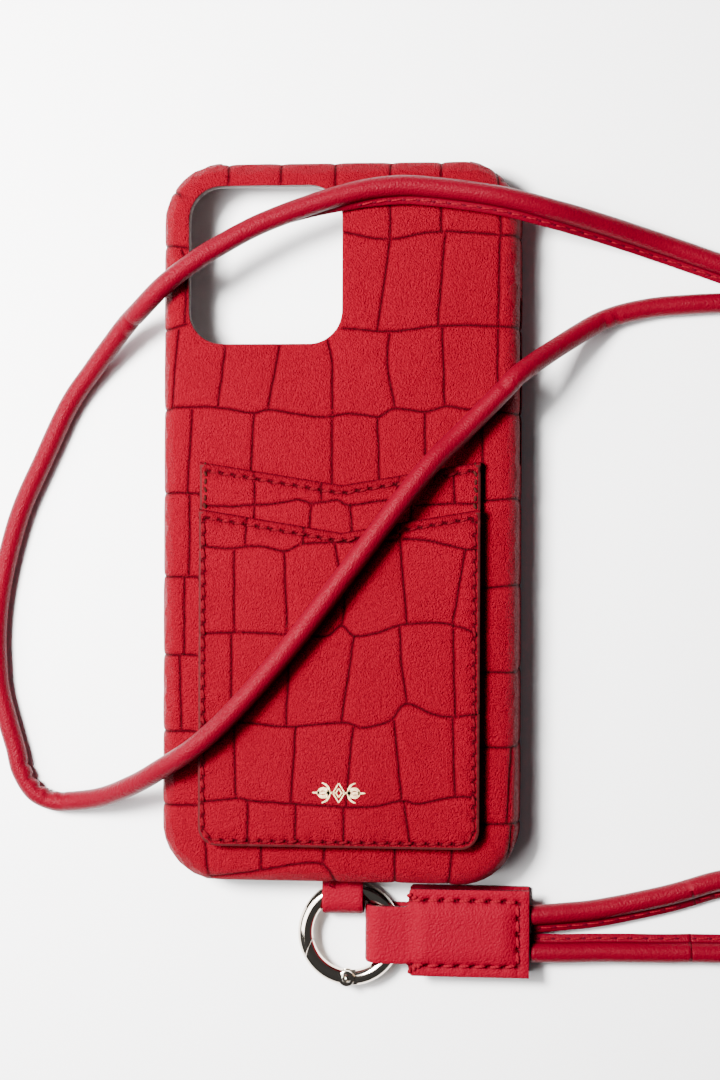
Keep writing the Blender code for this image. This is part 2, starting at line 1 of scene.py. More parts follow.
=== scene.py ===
"""Looks of the phone wallet case: croc-embossed leather, stitched pockets, a chrome spring ring and a
rolled-leather strap. The layout is in millimetres about the centre of the case, as in the CAD."""
import json
import math

import bpy
import numpy as np
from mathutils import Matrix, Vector, geometry

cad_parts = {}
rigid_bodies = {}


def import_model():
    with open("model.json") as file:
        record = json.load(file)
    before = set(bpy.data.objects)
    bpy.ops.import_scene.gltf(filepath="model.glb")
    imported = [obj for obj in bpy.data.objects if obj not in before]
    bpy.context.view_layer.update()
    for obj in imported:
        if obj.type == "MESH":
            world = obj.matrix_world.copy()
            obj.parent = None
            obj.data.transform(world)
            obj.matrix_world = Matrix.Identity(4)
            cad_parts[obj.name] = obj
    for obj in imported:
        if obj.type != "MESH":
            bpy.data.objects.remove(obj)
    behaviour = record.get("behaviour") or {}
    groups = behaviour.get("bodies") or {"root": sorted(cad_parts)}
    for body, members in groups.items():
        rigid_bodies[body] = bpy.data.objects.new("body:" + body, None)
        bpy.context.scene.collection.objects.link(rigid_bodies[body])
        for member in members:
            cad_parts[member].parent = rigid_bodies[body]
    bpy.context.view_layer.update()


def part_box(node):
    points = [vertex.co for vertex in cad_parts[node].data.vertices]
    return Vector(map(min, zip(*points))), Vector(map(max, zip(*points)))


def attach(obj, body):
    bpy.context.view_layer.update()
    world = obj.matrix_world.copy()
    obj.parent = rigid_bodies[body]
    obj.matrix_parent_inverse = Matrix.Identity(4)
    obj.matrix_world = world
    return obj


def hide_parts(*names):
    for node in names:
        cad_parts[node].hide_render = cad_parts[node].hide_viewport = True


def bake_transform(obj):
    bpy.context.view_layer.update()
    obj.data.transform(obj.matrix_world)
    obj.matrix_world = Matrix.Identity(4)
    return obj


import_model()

MM = 0.001
TURN = 2 * math.pi

# The shell is centred on the case, so its box gives the layout's origin.
shell_low, shell_high = (Vector(c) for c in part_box("inner_shell"))
CENTRE = (shell_low + shell_high) / 2


def world(point):
    """A layout point in millimetres as a world point in metres."""
    return Vector((CENTRE.x + point[0] * MM, CENTRE.y + point[1] * MM, point[2] * MM))


def unit(rows):
    return rows / np.maximum(np.linalg.norm(rows, axis=1), 1e-9)[:, None]


def leftward(ways):
    """Plane directions turned a quarter turn to the left."""
    return np.stack([-ways[:, 1], ways[:, 0]], axis=1)


def run_lengths(points):
    """How far along a polyline each of its points lies."""
    return np.r_[0.0, np.cumsum(np.linalg.norm(np.diff(points, axis=0), axis=1))]


def pick(where, lengths, rows):
    """The rows read at other lengths, by linear interpolation."""
    return np.stack([np.interp(where, lengths, column) for column in rows.T], axis=-1)


def fade(gap, width):
    """A bell that is 1 at no gap."""
    return np.exp(-(gap / width) ** 2)


# ---- Strap routes, the same points as in the CAD ----

CORD_RADIUS = 2.25
FLOOR_LEVEL = 2.3
FLOOR_CLEARANCE = 0.04


def on_floor(points):
    """Plane points as points of a cord that lies on the surface."""
    return [(x, y, FLOOR_LEVEL) for x, y in points]


END_UPPER = [
    (40.2, -82.8, 3.15), (47.0, -82.2, 2.9), (54.8, -81.3, 2.5), (67.2, -78.6, 2.3),
    (74.0, -76.7, 2.3),
]
END_LOWER = [
    (40.2, -90.6, 3.15), (47.0, -90.6, 2.9), (55.3, -90.4, 2.5), (68.1, -90.3, 2.3),
    (74.0, -90.1, 2.3),
]
LOOP_INNER = on_floor([
    (73.0, -76.95), (80.7, -74.7), (100.0, -70.8), (120.0, -68.8), (140.0, -67.8), (160.0, -65.4),
    (180.0, -57.9), (196.0, -45.6), (205.5, -29.7), (209.0, -10.9), (206.0, 7.8), (196.0, 25.5),
    (180.0, 37.8), (160.0, 43.6), (140.0, 45.6), (120.0, 46.3), (100.0, 46.5), (82.7, 46.4),
])
LOOP_OUTER = on_floor([
    (73.0, -90.12), (81.0, -90.1), (100.0, -89.9), (120.0, -89.4), (140.0, -87.9), (160.0, -84.2),
    (180.0, -76.8), (198.0, -64.4), (210.5, -47.5), (217.5, -28.7), (219.0, -8.9), (216.0, 10.7),
    (207.0, 28.4), (193.0, 41.7), (176.0, 49.5), (156.0, 53.3), (136.0, 53.6), (116.0, 52.5),
    (100.0, 51.8), (91.0, 52.0), (82.7, 53.5),
])
CORD_MAIN = [
    (82.7, 53.5, 2.3), (80.2, 54.3, 2.3), (67.4, 58.7, 3.3), (54.4, 62.3, 7.8), (44.0, 64.7, 12.0),
    (33.5, 67.1, 13.85), (20.8, 69.0, 13.9), (11.4, 69.5, 13.9), (0.8, 67.8, 13.9),
    (-15.0, 62.5, 13.9), (-25.6, 57.1, 13.9), (-31.4, 53.4, 13.85), (-36.9, 49.2, 13.5),
    (-42.3, 44.6, 10.7), (-46.6, 41.1, 7.2), (-53.9, 32.8, 3.5), (-59.5, 25.1, 2.4),
    (-65.0, 13.5, 2.3), (-69.5, 3.6, 2.3), (-72.2, -5.0, 2.3), (-74.3, -14.6, 2.3),
    (-75.2, -23.2, 2.3), (-75.1, -29.6, 2.3), (-74.5, -36.1, 2.3), (-72.9, -42.5, 2.3),
    (-71.0, -48.9, 2.3), (-69.7, -53.8, 2.3), (-66.8, -58.3, 2.3), (-62.8, -60.2, 2.3),
    (-59.2, -60.3, 3.0), (-51.2, -58.8, 6.3), (-43.3, -55.4, 10.8), (-37.0, -51.7, 14.4),
    (-29.2, -46.5, 17.4), (-21.4, -39.3, 17.6), (-10.2, -26.5, 17.6), (1.9, -10.8, 17.6),
    (13.8, 5.0, 17.6), (19.8, 12.4, 16.7), (25.3, 18.1, 14.8), (33.7, 26.7, 13.9),
    (37.9, 31.0, 13.2), (46.6, 37.5, 7.6), (55.3, 42.9, 3.2), (64.1, 45.3, 2.3), (72.9, 46.1, 2.3),
    (80.4, 46.4, 2.3), (82.7, 46.4, 2.3),
]


def smooth_route(points, step):
    """Evenly spaced layout points on a Catmull-Rom curve through the route's own points."""
    knots = [np.array(p, float) for p in points]
    knots = [2 * knots[0] - knots[1]] + knots + [2 * knots[-1] - knots[-2]]
    fine = []
    parts = 24
    for a, b, c, d in zip(knots, knots[1:], knots[2:], knots[3:]):
        for i in range(parts):
            t = i / parts
            fine.append(0.5 * (2 * b + (c - a) * t + (2 * a - 5 * b + 4 * c - d) * t ** 2
                               + (3 * b - a - 3 * c + d) * t ** 3))
    fine.append(np.array(points[-1], float))
    fine = np.array(fine)
    lengths = run_lengths(fine)
    count = max(2, round(lengths[-1] / step))
    return pick(np.linspace(0.0, lengths[-1], count + 1), lengths, fine)


# ---- Camera, light and floor ----

CAMERA_FOOT = (36.64, -2.97)
CAMERA_HEIGHT = 384.0
CAMERA_TILT = math.radians(4.5)
CAMERA_ROLL = 0.00397
CAMERA_LENS = 59.87
CAMERA_SHIFT = (-0.0126, -0.0025)
SENSOR = 36.0
KEY_PLACE = (-220.0, 90.0, 380.0)
KEY_SIZE = 0.12
KEY_POWER = 13.5
KEY_COLOUR = (1.0, 0.985, 0.97)
SIDE_PLACE = (-330.0, 30.0, 400.0)
SIDE_SIZE = 0.45
SIDE_POWER = 7.5
SKY_COLOUR = (0.95, 0.96, 1.0)
SKY_STRENGTH = 0.07
PAPER_SIZE = 6.0
PAPER_COLOUR = (0.87, 0.865, 0.87)


def make_camera():
    data = bpy.data.cameras.new("camera")
    data.lens = CAMERA_LENS
    data.sensor_width = SENSOR
    data.shift_x, data.shift_y = CAMERA_SHIFT
    data.clip_start = 0.01
    data.clip_end = 20.0
    camera = bpy.data.objects.new("camera", data)
    bpy.context.scene.collection.objects.link(camera)
    camera.location = world((*CAMERA_FOOT, CAMERA_HEIGHT))
    camera.rotation_euler = (0.0, CAMERA_TILT, CAMERA_ROLL)
    bpy.context.scene.camera = camera


def area_light(name, place, size, power, colour=(1.0, 1.0, 1.0)):
    """A square softbox that faces the middle of the case."""
    data = bpy.data.lights.new(name, "AREA")
    data.shape = "RECTANGLE"
    data.size = data.size_y = size
    data.energy = power
    data.color = colour
    lamp = bpy.data.objects.new(name, data)
    bpy.context.scene.collection.objects.link(lamp)
    lamp.location = world(place)
    lamp.rotation_euler = (world((0.0, 0.0, 0.0)) - lamp.location).to_track_quat("-Z", "Y").to_euler()


def make_light():
    """A small warm key on the left, a larger soft light beyond it and a pale surround."""
    area_light("key", KEY_PLACE, KEY_SIZE, KEY_POWER, KEY_COLOUR)
    area_light("side", SIDE_PLACE, SIDE_SIZE, SIDE_POWER)
    surround = bpy.data.worlds.new("surround")
    surround.use_nodes = True
    sky = surround.node_tree.nodes["Background"]
    sky.inputs["Color"].default_value = shade(SKY_COLOUR)
    sky.inputs["Strength"].default_value = SKY_STRENGTH
    bpy.context.scene.world = surround


def make_floor():
    bpy.ops.mesh.primitive_plane_add(size=PAPER_SIZE, location=(0.0, 0.0, 0.0))
    floor = bpy.context.object
    floor.name = "floor"
    floor.data.materials.append(plain("floor_paper", PAPER_COLOUR, 0.55))


# ---- Materials ----

class Nodes:
    """A small helper that adds nodes to a material and links them."""

    def __init__(self, name):
        self.material = bpy.data.materials.new(name)
        self.material.use_nodes = True
        self.tree = self.material.node_tree
        self.shader = self.tree.nodes["Principled BSDF"]

    def add(self, kind, **settings):
        node = self.tree.nodes.new(kind)
        inputs = settings.pop("inputs", {})
        for key, value in settings.items():
            setattr(node, key, value)
        for key, value in inputs.items():
            self.feed(node.inputs[key], value)
        return node

    def feed(self, socket, value):
        if isinstance(value, bpy.types.NodeSocket):
            self.tree.links.new(value, socket)
        else:
            socket.default_value = value

    def set(self, **values):
        """Principled inputs by name, with _ for spaces."""
        for key, value in values.items():
            self.feed(self.shader.inputs[key.replace("_", " ")], value)

    def math(self, operation, a, b):
        return self.add("ShaderNodeMath", operation=operation, inputs={0: a, 1: b}).outputs[0]

    def mix(self, share, a, b):
        return self.add("ShaderNodeMix", data_type="RGBA", inputs={0: share, 6: a, 7: b}).outputs[2]

    def switch(self, value, start, end):
        """1 below the start, 0 above the end, and a ramp between them."""
        node = self.add("ShaderNodeValToRGB", inputs={0: value})
        for element, place, level in zip(node.color_ramp.elements, (start, end), (1.0, 0.0)):
            element.position = place
            element.color = (level, level, level, 1.0)
        return node.outputs[0]

    def where(self):
        """Object coordinates, which are the shared frame's own metres."""
        return self.add("ShaderNodeTexCoord").outputs["Object"]

    def noise(self, scale, detail=3.0, rough=0.5, vector=None):
        place = vector or self.where()
        return self.add("ShaderNodeTexNoise", inputs={
            "Vector": place, "Scale": scale, "Detail": detail, "Roughness": rough}).outputs[0]

    def rough(self, base, texture, share):
        """A base value plus a share of a texture."""
        return self.math("ADD", base, self.math("MULTIPLY", texture, share))

    def cells(self, scale, vector, smoothness):
        return self.add("ShaderNodeTexVoronoi", feature="SMOOTH_F1", inputs={
            "Vector": vector, "Scale": scale, "Smoothness": smoothness}).outputs["Distance"]

    def attribute(self, name):
        return self.add("ShaderNodeAttribute", attribute_name=name).outputs["Fac"]

    def bump(self, height, strength, distance):
        return self.add("ShaderNodeBump", inputs={
            "Height": height, "Strength": strength, "Distance": distance}).outputs[0]


def shade(colour):
    return (*colour, 1.0)


def toned(colour, factor):
    return shade(tuple(c * factor for c in colour))


def plain(name, colour, rough):
    nodes = Nodes(name)
    nodes.set(Base_Color=shade(colour), Roughness=rough)
    return nodes.material


GRAIN_SCALE = 3300.0
GRAIN_BEND = 0.0006
GRAIN_RELIEF = 0.0003
RED_GLOSS = (1.0, 0.32, 0.36, 1.0)
EDGE_GLOSS = (1.0, 0.25, 0.28, 1.0)
LEATHER_LIGHT = (0.165, 0.0, 0.008)
LEATHER_DEEP = (0.085, 0.0, 0.0035)
# Painted shade: the near-black colour mixed into creases, stitch holes, pocket hems and the strap's flange
# crevice.
PAINTED_SHADE_COLOUR = (0.012, 0.0, 0.0005)
STRAP_LIGHT = (0.092, 0.0, 0.006)
STRAP_DEEP = (0.06, 0.0, 0.0035)
SMOOTH_LIGHT = (0.135, 0.0, 0.008)
SMOOTH_DEEP = (0.095, 0.0, 0.005)


def leather(name, light, deep, rough, grain, scale, ior):
    """Pebbled leather, with painted shade in its creases and stitch holes, read from a point attribute."""
    nodes = Nodes(name)
    place = nodes.where()
    warp = nodes.add("ShaderNodeTexNoise", inputs={"Vector": place, "Scale": scale * 0.7, "Detail": 2.0})
    bent = nodes.add("ShaderNodeMix", data_type="VECTOR", inputs={
        0: GRAIN_BEND, 4: place, 5: warp.outputs["Color"]})
    pebble = nodes.cells(scale, bent.outputs[1], 0.15)
    fine = nodes.noise(scale * 2.2, 2.0, 0.6)
    height = nodes.math("SUBTRACT", nodes.math("MULTIPLY", fine, 0.35), pebble)
    cloud = nodes.noise(55.0, 3.0, 0.55)
    # Pebble tops take the light colour and the hollows between them the deep one: painted highlight and
    # painted shade on the grain. The cloud share is the leather's own uneven tone.
    tone = nodes.math("ADD", nodes.math("MULTIPLY", pebble, 0.55), nodes.math("MULTIPLY", cloud, 0.35))
    body = nodes.mix(tone, shade(light), shade(deep))
    # Base colour: painted shade in creases and holes, mixed over the body tone.
    nodes.set(
        Base_Color=nodes.mix(nodes.attribute("painted_shade"), body, shade(PAINTED_SHADE_COLOUR)),
        Roughness=nodes.rough(rough - 0.06, pebble, 0.2),
        IOR=ior,
        Specular_Tint=RED_GLOSS,
        Normal=nodes.bump(height, grain, GRAIN_RELIEF),
    )
    return nodes.material


def edge_paint(name, colour):
    """Painted leather edge: a slightly uneven, satin coat."""
    nodes = Nodes(name)
    cloud = nodes.noise(700.0, 3.0, 0.6)
    nodes.set(
        Base_Color=nodes.mix(cloud, shade(colour), toned(colour, 0.6)),
        Roughness=nodes.rough(0.45, cloud, 0.2),
        IOR=1.15,
        Specular_Tint=EDGE_GLOSS,
        Normal=nodes.bump(cloud, 0.3, 0.0001),
    )
    return nodes.material


def thread_look(name, colour):
    """Twisted sewing thread."""
    nodes = Nodes(name)
    ply = nodes.add("ShaderNodeTexWave", wave_type="BANDS", bands_direction="DIAGONAL", inputs={
        "Vector": nodes.where(), "Scale": 900.0, "Distortion": 1.5, "Detail": 2.0})
    fuzz = nodes.noise(5000.0, 2.0, 0.6)
    nodes.set(
        Base_Color=nodes.mix(nodes.math("MULTIPLY", ply.outputs["Fac"], 0.7), shade(colour),
                             toned(colour, 0.45)),
        Roughness=nodes.rough(0.55, fuzz, 0.3),
        IOR=1.12,
        Specular_Tint=EDGE_GLOSS,
        Normal=nodes.bump(nodes.math("ADD", ply.outputs["Fac"], fuzz), 0.5, 0.00008),
    )
    return nodes.material


def metal_look(name, colour, rough):
    """Polished plating with faint hairline scratches and handling marks."""
    nodes = Nodes(name)
    smear = nodes.noise(220.0, 4.0, 0.6)
    stretched = nodes.add("ShaderNodeMapping", inputs={"Vector": nodes.where(), "Scale": (1.0, 14.0, 1.0)})
    hair = nodes.noise(900.0, 2.0, 0.7, stretched.outputs[0])
    nodes.set(
        Base_Color=nodes.mix(smear, shade(colour), toned(colour, 0.93)),
        Metallic=1.0,
        Roughness=nodes.rough(rough, smear, 0.06),
        Normal=nodes.bump(hair, 0.03, 0.00005),
    )
    return nodes.material


def foil_look(name):
    """Pressed gold foil, rubbed thin in places."""
    nodes = Nodes(name)
    wear = nodes.noise(1400.0, 4.0, 0.7)
    gone = nodes.switch(wear, 0.36, 0.42)
    nodes.set(
        Base_Color=nodes.mix(gone, shade((0.95, 0.66, 0.34)), shade((0.45, 0.10, 0.07))),
        Metallic=nodes.math("SUBTRACT", 1.0, nodes.math("MULTIPLY", gone, 0.8)),
        Roughness=nodes.rough(0.22, wear, 0.3),
        Normal=nodes.bump(wear, 0.5, 0.0001),
    )
    return nodes.material


def cloth_look(name, colour):
    """Short brushed microfibre."""
    nodes = Nodes(name)
    nap = nodes.noise(2600.0, 3.0, 0.7)
    patch = nodes.noise(70.0, 3.0, 0.5)
    tone = nodes.math("ADD", nodes.math("MULTIPLY", nap, 0.6), nodes.math("MULTIPLY", patch, 0.4))
    nodes.set(
        Base_Color=nodes.mix(tone, toned(colour, 1.35), toned(colour, 0.6)),
        Roughness=0.95,
        Sheen_Weight=0.5,
        Normal=nodes.bump(nap, 0.6, 0.0002),
    )
    return nodes.material


def plastic_look(name, colour):
    """Moulded plastic with a fine spark-eroded texture."""
    nodes = Nodes(name)
    texture = nodes.noise(3500.0, 2.0, 0.5)
    flow = nodes.noise(40.0, 3.0, 0.5)
    nodes.set(
        Base_Color=nodes.mix(flow, shade(colour), toned(colour, 1.6)),
        Roughness=nodes.rough(0.38, texture, 0.15),
        IOR=1.2,
        Specular_Tint=(1.0, 0.45, 0.45, 1.0),
        Normal=nodes.bump(texture, 0.2, 0.00005),
    )
    return nodes.material


def board_look(name, colour):
    """Pressed fibre board with stray fibres."""
    nodes = Nodes(name)
    stretched = nodes.add("ShaderNodeMapping", inputs={"Vector": nodes.where(), "Scale": (1.0, 1.0, 6.0)})
    fibre = nodes.noise(1500.0, 4.0, 0.7, stretched.outputs[0])
    nodes.set(
        Base_Color=nodes.mix(fibre, shade(colour), toned(colour, 1.7)),
        Roughness=0.85,
        Normal=nodes.bump(fibre, 0.5, 0.0002),
    )
    return nodes.material


# ---- Mesh helpers ----

def finish_piece(name, mesh, materials, body, replaces=()):
    """An object with the named materials, in slot order; a piece with no body is left without a parent."""
    made = bpy.data.objects.new(name, mesh)
    bpy.context.scene.collection.objects.link(made)
    for material in materials:
        mesh.materials.append(MATERIALS[material])
    if replaces:
        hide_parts(*replaces)
    if body:
        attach(made, body)
    return made


def store_painted_shade(mesh, values):
    """How much painted shade each point takes, for the leather's material."""
    made = mesh.attributes.new("painted_shade", "FLOAT", "POINT")
    made.data.foreach_set("value", np.asarray(values, np.float32))


def mesh_of(name, points, faces, smooth=True, painted_shade=None):
    """A mesh from layout points and faces."""
    mesh = bpy.data.meshes.new(name)
    mesh.from_pydata([world(p) for p in points], [], [tuple(f) for f in faces])
    mesh.validate()
    if painted_shade is not None:
        store_painted_shade(mesh, painted_shade)
    if smooth:
        mesh.shade_smooth()
    mesh.update()
    return mesh


def tube_faces(rings, count):
    """The quads between rings of count points, and a face at each end."""
    faces = []
    for start in range(0, (rings - 1) * count, count):
        for k in range(count):
            j = (k + 1) % count
            faces.append((start + k, start + j, start + count + j, start + count + k))
    faces.append(tuple(range(count - 1, -1, -1)))
    faces.append(tuple(range((rings - 1) * count, rings * count)))
    return faces


def route_frame(points):
    """The sideways and upward directions at each point of a route."""
    along = unit(np.gradient(points, axis=0))
    side = unit(np.cross(along, (0.0, 0.0, 1.0)))
    return side, np.cross(side, along)


def ellipse(wide, high, sides):
    return [(wide * math.cos(TURN * k / sides), high * math.sin(TURN * k / sides)) for k in range(sides)]


def joined(parts):
    """Several shapes' points and faces as one."""
    faces, start = [], 0
    for points, quads in parts:
        faces += [tuple(i + start for i in quad) for quad in quads]
        start += len(points)
    return np.concatenate([points for points, _ in parts]), faces


def sweep(points, sections):
    """Faces and points of a closed tube whose section i is sections[i], pairs (side, up) in mm."""
    points = np.asarray(points, float)
    side, up = route_frame(points)
    sections = np.asarray(sections)
    verts = points[:, None] + sections[:, :, :1] * side[:, None] + sections[:, :, 1:] * up[:, None]
    return verts.reshape(-1, 3), tube_faces(len(points), len(sections[0]))


# ---- Flat sheets of leather: points, triangles and a thickness ----

def rounded(xs, ys, radius, step=0.6):
    """A rounded rectangle, counter-clockwise, with points about one step apart."""
    radius = max(radius, 0.01)
    corners = [(xs[1] - radius, ys[1] - radius, 0), (xs[0] + radius, ys[1] - radius, 90),
               (xs[0] + radius, ys[0] + radius, 180), (xs[1] - radius, ys[0] + radius, 270)]
    points = []
    for x, y, start in corners:
        parts = max(3, int(radius * math.pi / 2 / step))
        for i in range(parts + 1):
            turn = math.radians(start + 90 * i / parts)
            points.append((x + radius * math.cos(turn), y + radius * math.sin(turn)))
    return densify(points, step)


def densify(loop, step=0.6, closed=True):
    """The same polygon with extra points, so that no edge is longer than the step."""
    made = []
    ends = loop[1:] + loop[:1] if closed else loop[1:]
    for a, b in zip(loop, ends):
        parts = max(1, int(math.dist(a, b) / step))
        made += [(a[0] + (b[0] - a[0]) * i / parts, a[1] + (b[1] - a[1]) * i / parts) for i in range(parts)]
    return made if closed else made + [loop[-1]]


def crease_curve(line, step, wander, seed):
    """Even points and unit normals along a slightly wandering curve through a crease's own points."""
    points = smooth_route(line, step)
    normal = leftward(unit(np.gradient(points, axis=0)))
    chance = np.random.default_rng(seed)
    knots = chance.uniform(-1, 1, len(points) // 3 + 3)
    wave = np.interp(np.arange(len(points)) / 3.0, np.arange(len(knots)), knots)
    return points + normal * (wave * wander)[:, None], normal


def inside(points, loop):
    """Which points lie inside a polygon."""
    x, y = points[:, 0], points[:, 1]
    result = np.zeros(len(points), bool)
    loop = np.asarray(loop)
    for (x1, y1), (x2, y2) in zip(loop, np.roll(loop, -1, axis=0)):
        crossing = (y1 > y) != (y2 > y)
        if y1 != y2:
            result ^= crossing & (x < (x2 - x1) * (y - y1) / (y2 - y1) + x1)
    return result


def near(points, targets):
    """Each point's distance to the nearest of the target points, with the targets in small batches."""
    best = np.full(len(points), 1e9)
    for k in range(0, len(targets), 400):
        part = targets[k:k + 400]
        gap = ((points[:, None, :] - part[None, :, :]) ** 2).sum(axis=2).min(axis=1)
        best = np.minimum(best, gap)
    return np.sqrt(best)


def edge_distance(points, loop):
    """Each point's distance to a closed polygon's edges."""
    best = np.full(len(points), 1e9)
    loop = np.asarray(loop)
    for a, b in zip(loop, np.roll(loop, -1, axis=0)):
        run = b - a
        share = np.clip(((points - a) @ run) / max(run @ run, 1e-12), 0, 1)
        best = np.minimum(best, np.linalg.norm(points - (a + share[:, None] * run), axis=1))
    return best


NO_POINTS = np.zeros((0, 2))
CREASE_DEPTH = 0.24
CREASE_WIDTH = 0.26
PILLOW_DEPTH = 0.13
PILLOW_WIDTH = 1.25
HOLE_DEPTH = 0.45
HOLE_WIDTH = 0.42
CLEAR_OF_CREASES = 1.7


class Creases:
    """Croc creases and stitch holes pressed into a sheet, in the sheet's own plane."""

    def __init__(self, lines, holes=(), seed=1):
        self.rows = [crease_curve(line, 0.75, 0.09, seed * 100 + i) for i, line in enumerate(lines)]
        self.centres = np.concatenate([refine(points) for points, _ in self.rows] or [NO_POINTS])
        self.holes = dashes(np.array(holes, float).reshape(-1, 2))

    def seeds(self):
        """Extra mesh points, most important first."""
        made = [self.holes]
        for reach in (0.3, 0.6):
            made += [self.holes + spoke for spoke in ellipse(reach, reach, 6)]
        for offset in (0.0, 0.26, -0.26, 0.6, -0.6, 1.3, -1.3):
            made += [points + normal * offset for points, normal in self.rows]
        return np.concatenate(made)

    def depth(self, points):
        """How far each point sinks, in millimetres, and how much painted shade darkens it in its creases and
        stitch holes.
        """
        gap = near(points, self.centres)
        hole = near(points, self.holes)
        sink = CREASE_DEPTH * fade(gap, CREASE_WIDTH) + PILLOW_DEPTH * fade(gap, PILLOW_WIDTH)
        # Painted shade: creases and stitch holes are darkened towards the painted shade colour, for the shade
        # that falls into them.
        dark = np.maximum(0.95 * fade(gap, CREASE_WIDTH + 0.03), 1.1 * fade(hole, HOLE_WIDTH + 0.03))
        return sink + HOLE_DEPTH * fade(hole, HOLE_WIDTH), dark


def dashes(holes, reach=0.32, slant=0.1):
    """Each hole of a seam as two, so that it reads as a short slanted cut."""
    if len(holes) < 2:
        return holes
    way = unit(np.gradient(holes, axis=0))
    move = way * reach - leftward(way) * slant
    return np.concatenate([holes + move, holes - move])


def refine(points, parts=5):
    """The points of a polyline with several more between each two."""
    last = len(points) - 1
    return pick(np.linspace(0, last, last * parts + 1), np.arange(last + 1), points)


def both_sides(loop, reach):
    """The loop's points moved to both sides of it by the reach."""
    loop = np.array(loop)
    normal = leftward(unit(np.roll(loop, -1, axis=0) - np.roll(loop, 1, axis=0)))
    return np.concatenate([loop + normal * reach, loop - normal * reach])


def thin_out(points, fixed, gap):
    """Drops points that fall in the same small cell as an earlier one or near a fixed one."""
    taken = set()
    for x, y in fixed:
        cx, cy = math.floor(x / gap), math.floor(y / gap)
        taken.update((cx + i, cy + j) for i in (-1, 0, 1) for j in (-1, 0, 1))
    kept = []
    for x, y in points:
        key = (math.floor(x / gap), math.floor(y / gap))
        if key not in taken:
            taken.add(key)
            kept.append((x, y))
    return kept


def sheet_plan(outer, holes, creases, grid=2.0, gap=0.24):
    """Points and triangles of a flat sheet with holes: fine along the creases, coarse elsewhere."""
    loops = [outer] + [list(h) for h in holes]
    fixed = [p for loop in loops for p in loop]
    xs, ys = (np.arange(low, high, grid) for low, high in zip(np.min(outer, axis=0), np.max(outer, axis=0)))
    chance = np.random.default_rng(7)
    field = np.stack(np.meshgrid(xs, ys), axis=-1).reshape(-1, 2)
    field = field + chance.uniform(-0.3, 0.3, field.shape) * grid
    field = field[near(field, creases.centres) > CLEAR_OF_CREASES]
    extra = np.concatenate([creases.seeds()] + [both_sides(loop, 0.5) for loop in loops] + [field])
    extra = thin_out(extra[inside(extra, outer)], fixed, gap)
    verts = [Vector(p) for p in fixed + extra]
    edges = []
    start = 0
    for loop in loops:
        edges += [(start + i, start + (i + 1) % len(loop)) for i in range(len(loop))]
        start += len(loop)
    made = geometry.delaunay_2d_cdt(verts, edges, [], 0, 1e-4, False)
    points = np.array([(p.x, p.y) for p in made[0]])
    faces = np.array([f for f in made[2] if len(f) == 3])
    middle = points[faces].mean(axis=1)
    keep = inside(middle, outer)
    for hole in holes:
        keep &= ~inside(middle, hole)
    faces = faces[keep]
    a, b, c = (points[faces[:, k]] for k in range(3))
    area = (b - a)[:, 0] * (c - a)[:, 1] - (b - a)[:, 1] * (c - a)[:, 0]
    faces = faces[np.abs(area) > 1e-7]
    area = area[np.abs(area) > 1e-7]
    faces[area < 0] = faces[area < 0][:, ::-1]
    used, packed = np.unique(faces, return_inverse=True)
    return points[used], packed.reshape(-1, 3)


def sheet_mesh(name, faces, top, bottom, dark, wall_slot=0, painted=None):
    """A closed sheet from matching top and bottom points; its cut edges take wall_slot."""
    count = len(top)
    edges = dict.fromkeys(pair for a, b, c in faces for pair in ((a, b), (b, c), (c, a)))
    rim = [(a, b) for a, b in edges if (b, a) not in edges]
    made = [tuple(f) for f in faces] + [(c + count, b + count, a + count) for a, b, c in faces]
    made += [(b, a, a + count, b + count) for a, b in rim]
    points = np.concatenate([top, bottom])
    mesh = bpy.data.meshes.new(name)
    mesh.from_pydata([world(p) for p in points], [], made)
    slots = np.zeros(len(made), np.int32)
    slots[2 * len(faces):] = wall_slot
    if painted is not None:
        slots[:len(faces)][painted[faces].all(axis=1)] = wall_slot
    mesh.polygons.foreach_set("material_index", slots)
    store_painted_shade(mesh, np.r_[dark, np.zeros(count)])
    mesh.shade_smooth()
    mesh.set_sharp_from_angle(angle=math.radians(48))
    mesh.update()
    return mesh


# ---- The skin over the case ----

CASE_TOP = 11.2
HALF = np.array((34.0, 72.25))
FLAT_CORNER = 9.0
SHOULDER = 3.5
SKIN = 0.6
WINDOW = ((-31.9, 0.5), (37.3, 70.5), 7.0)

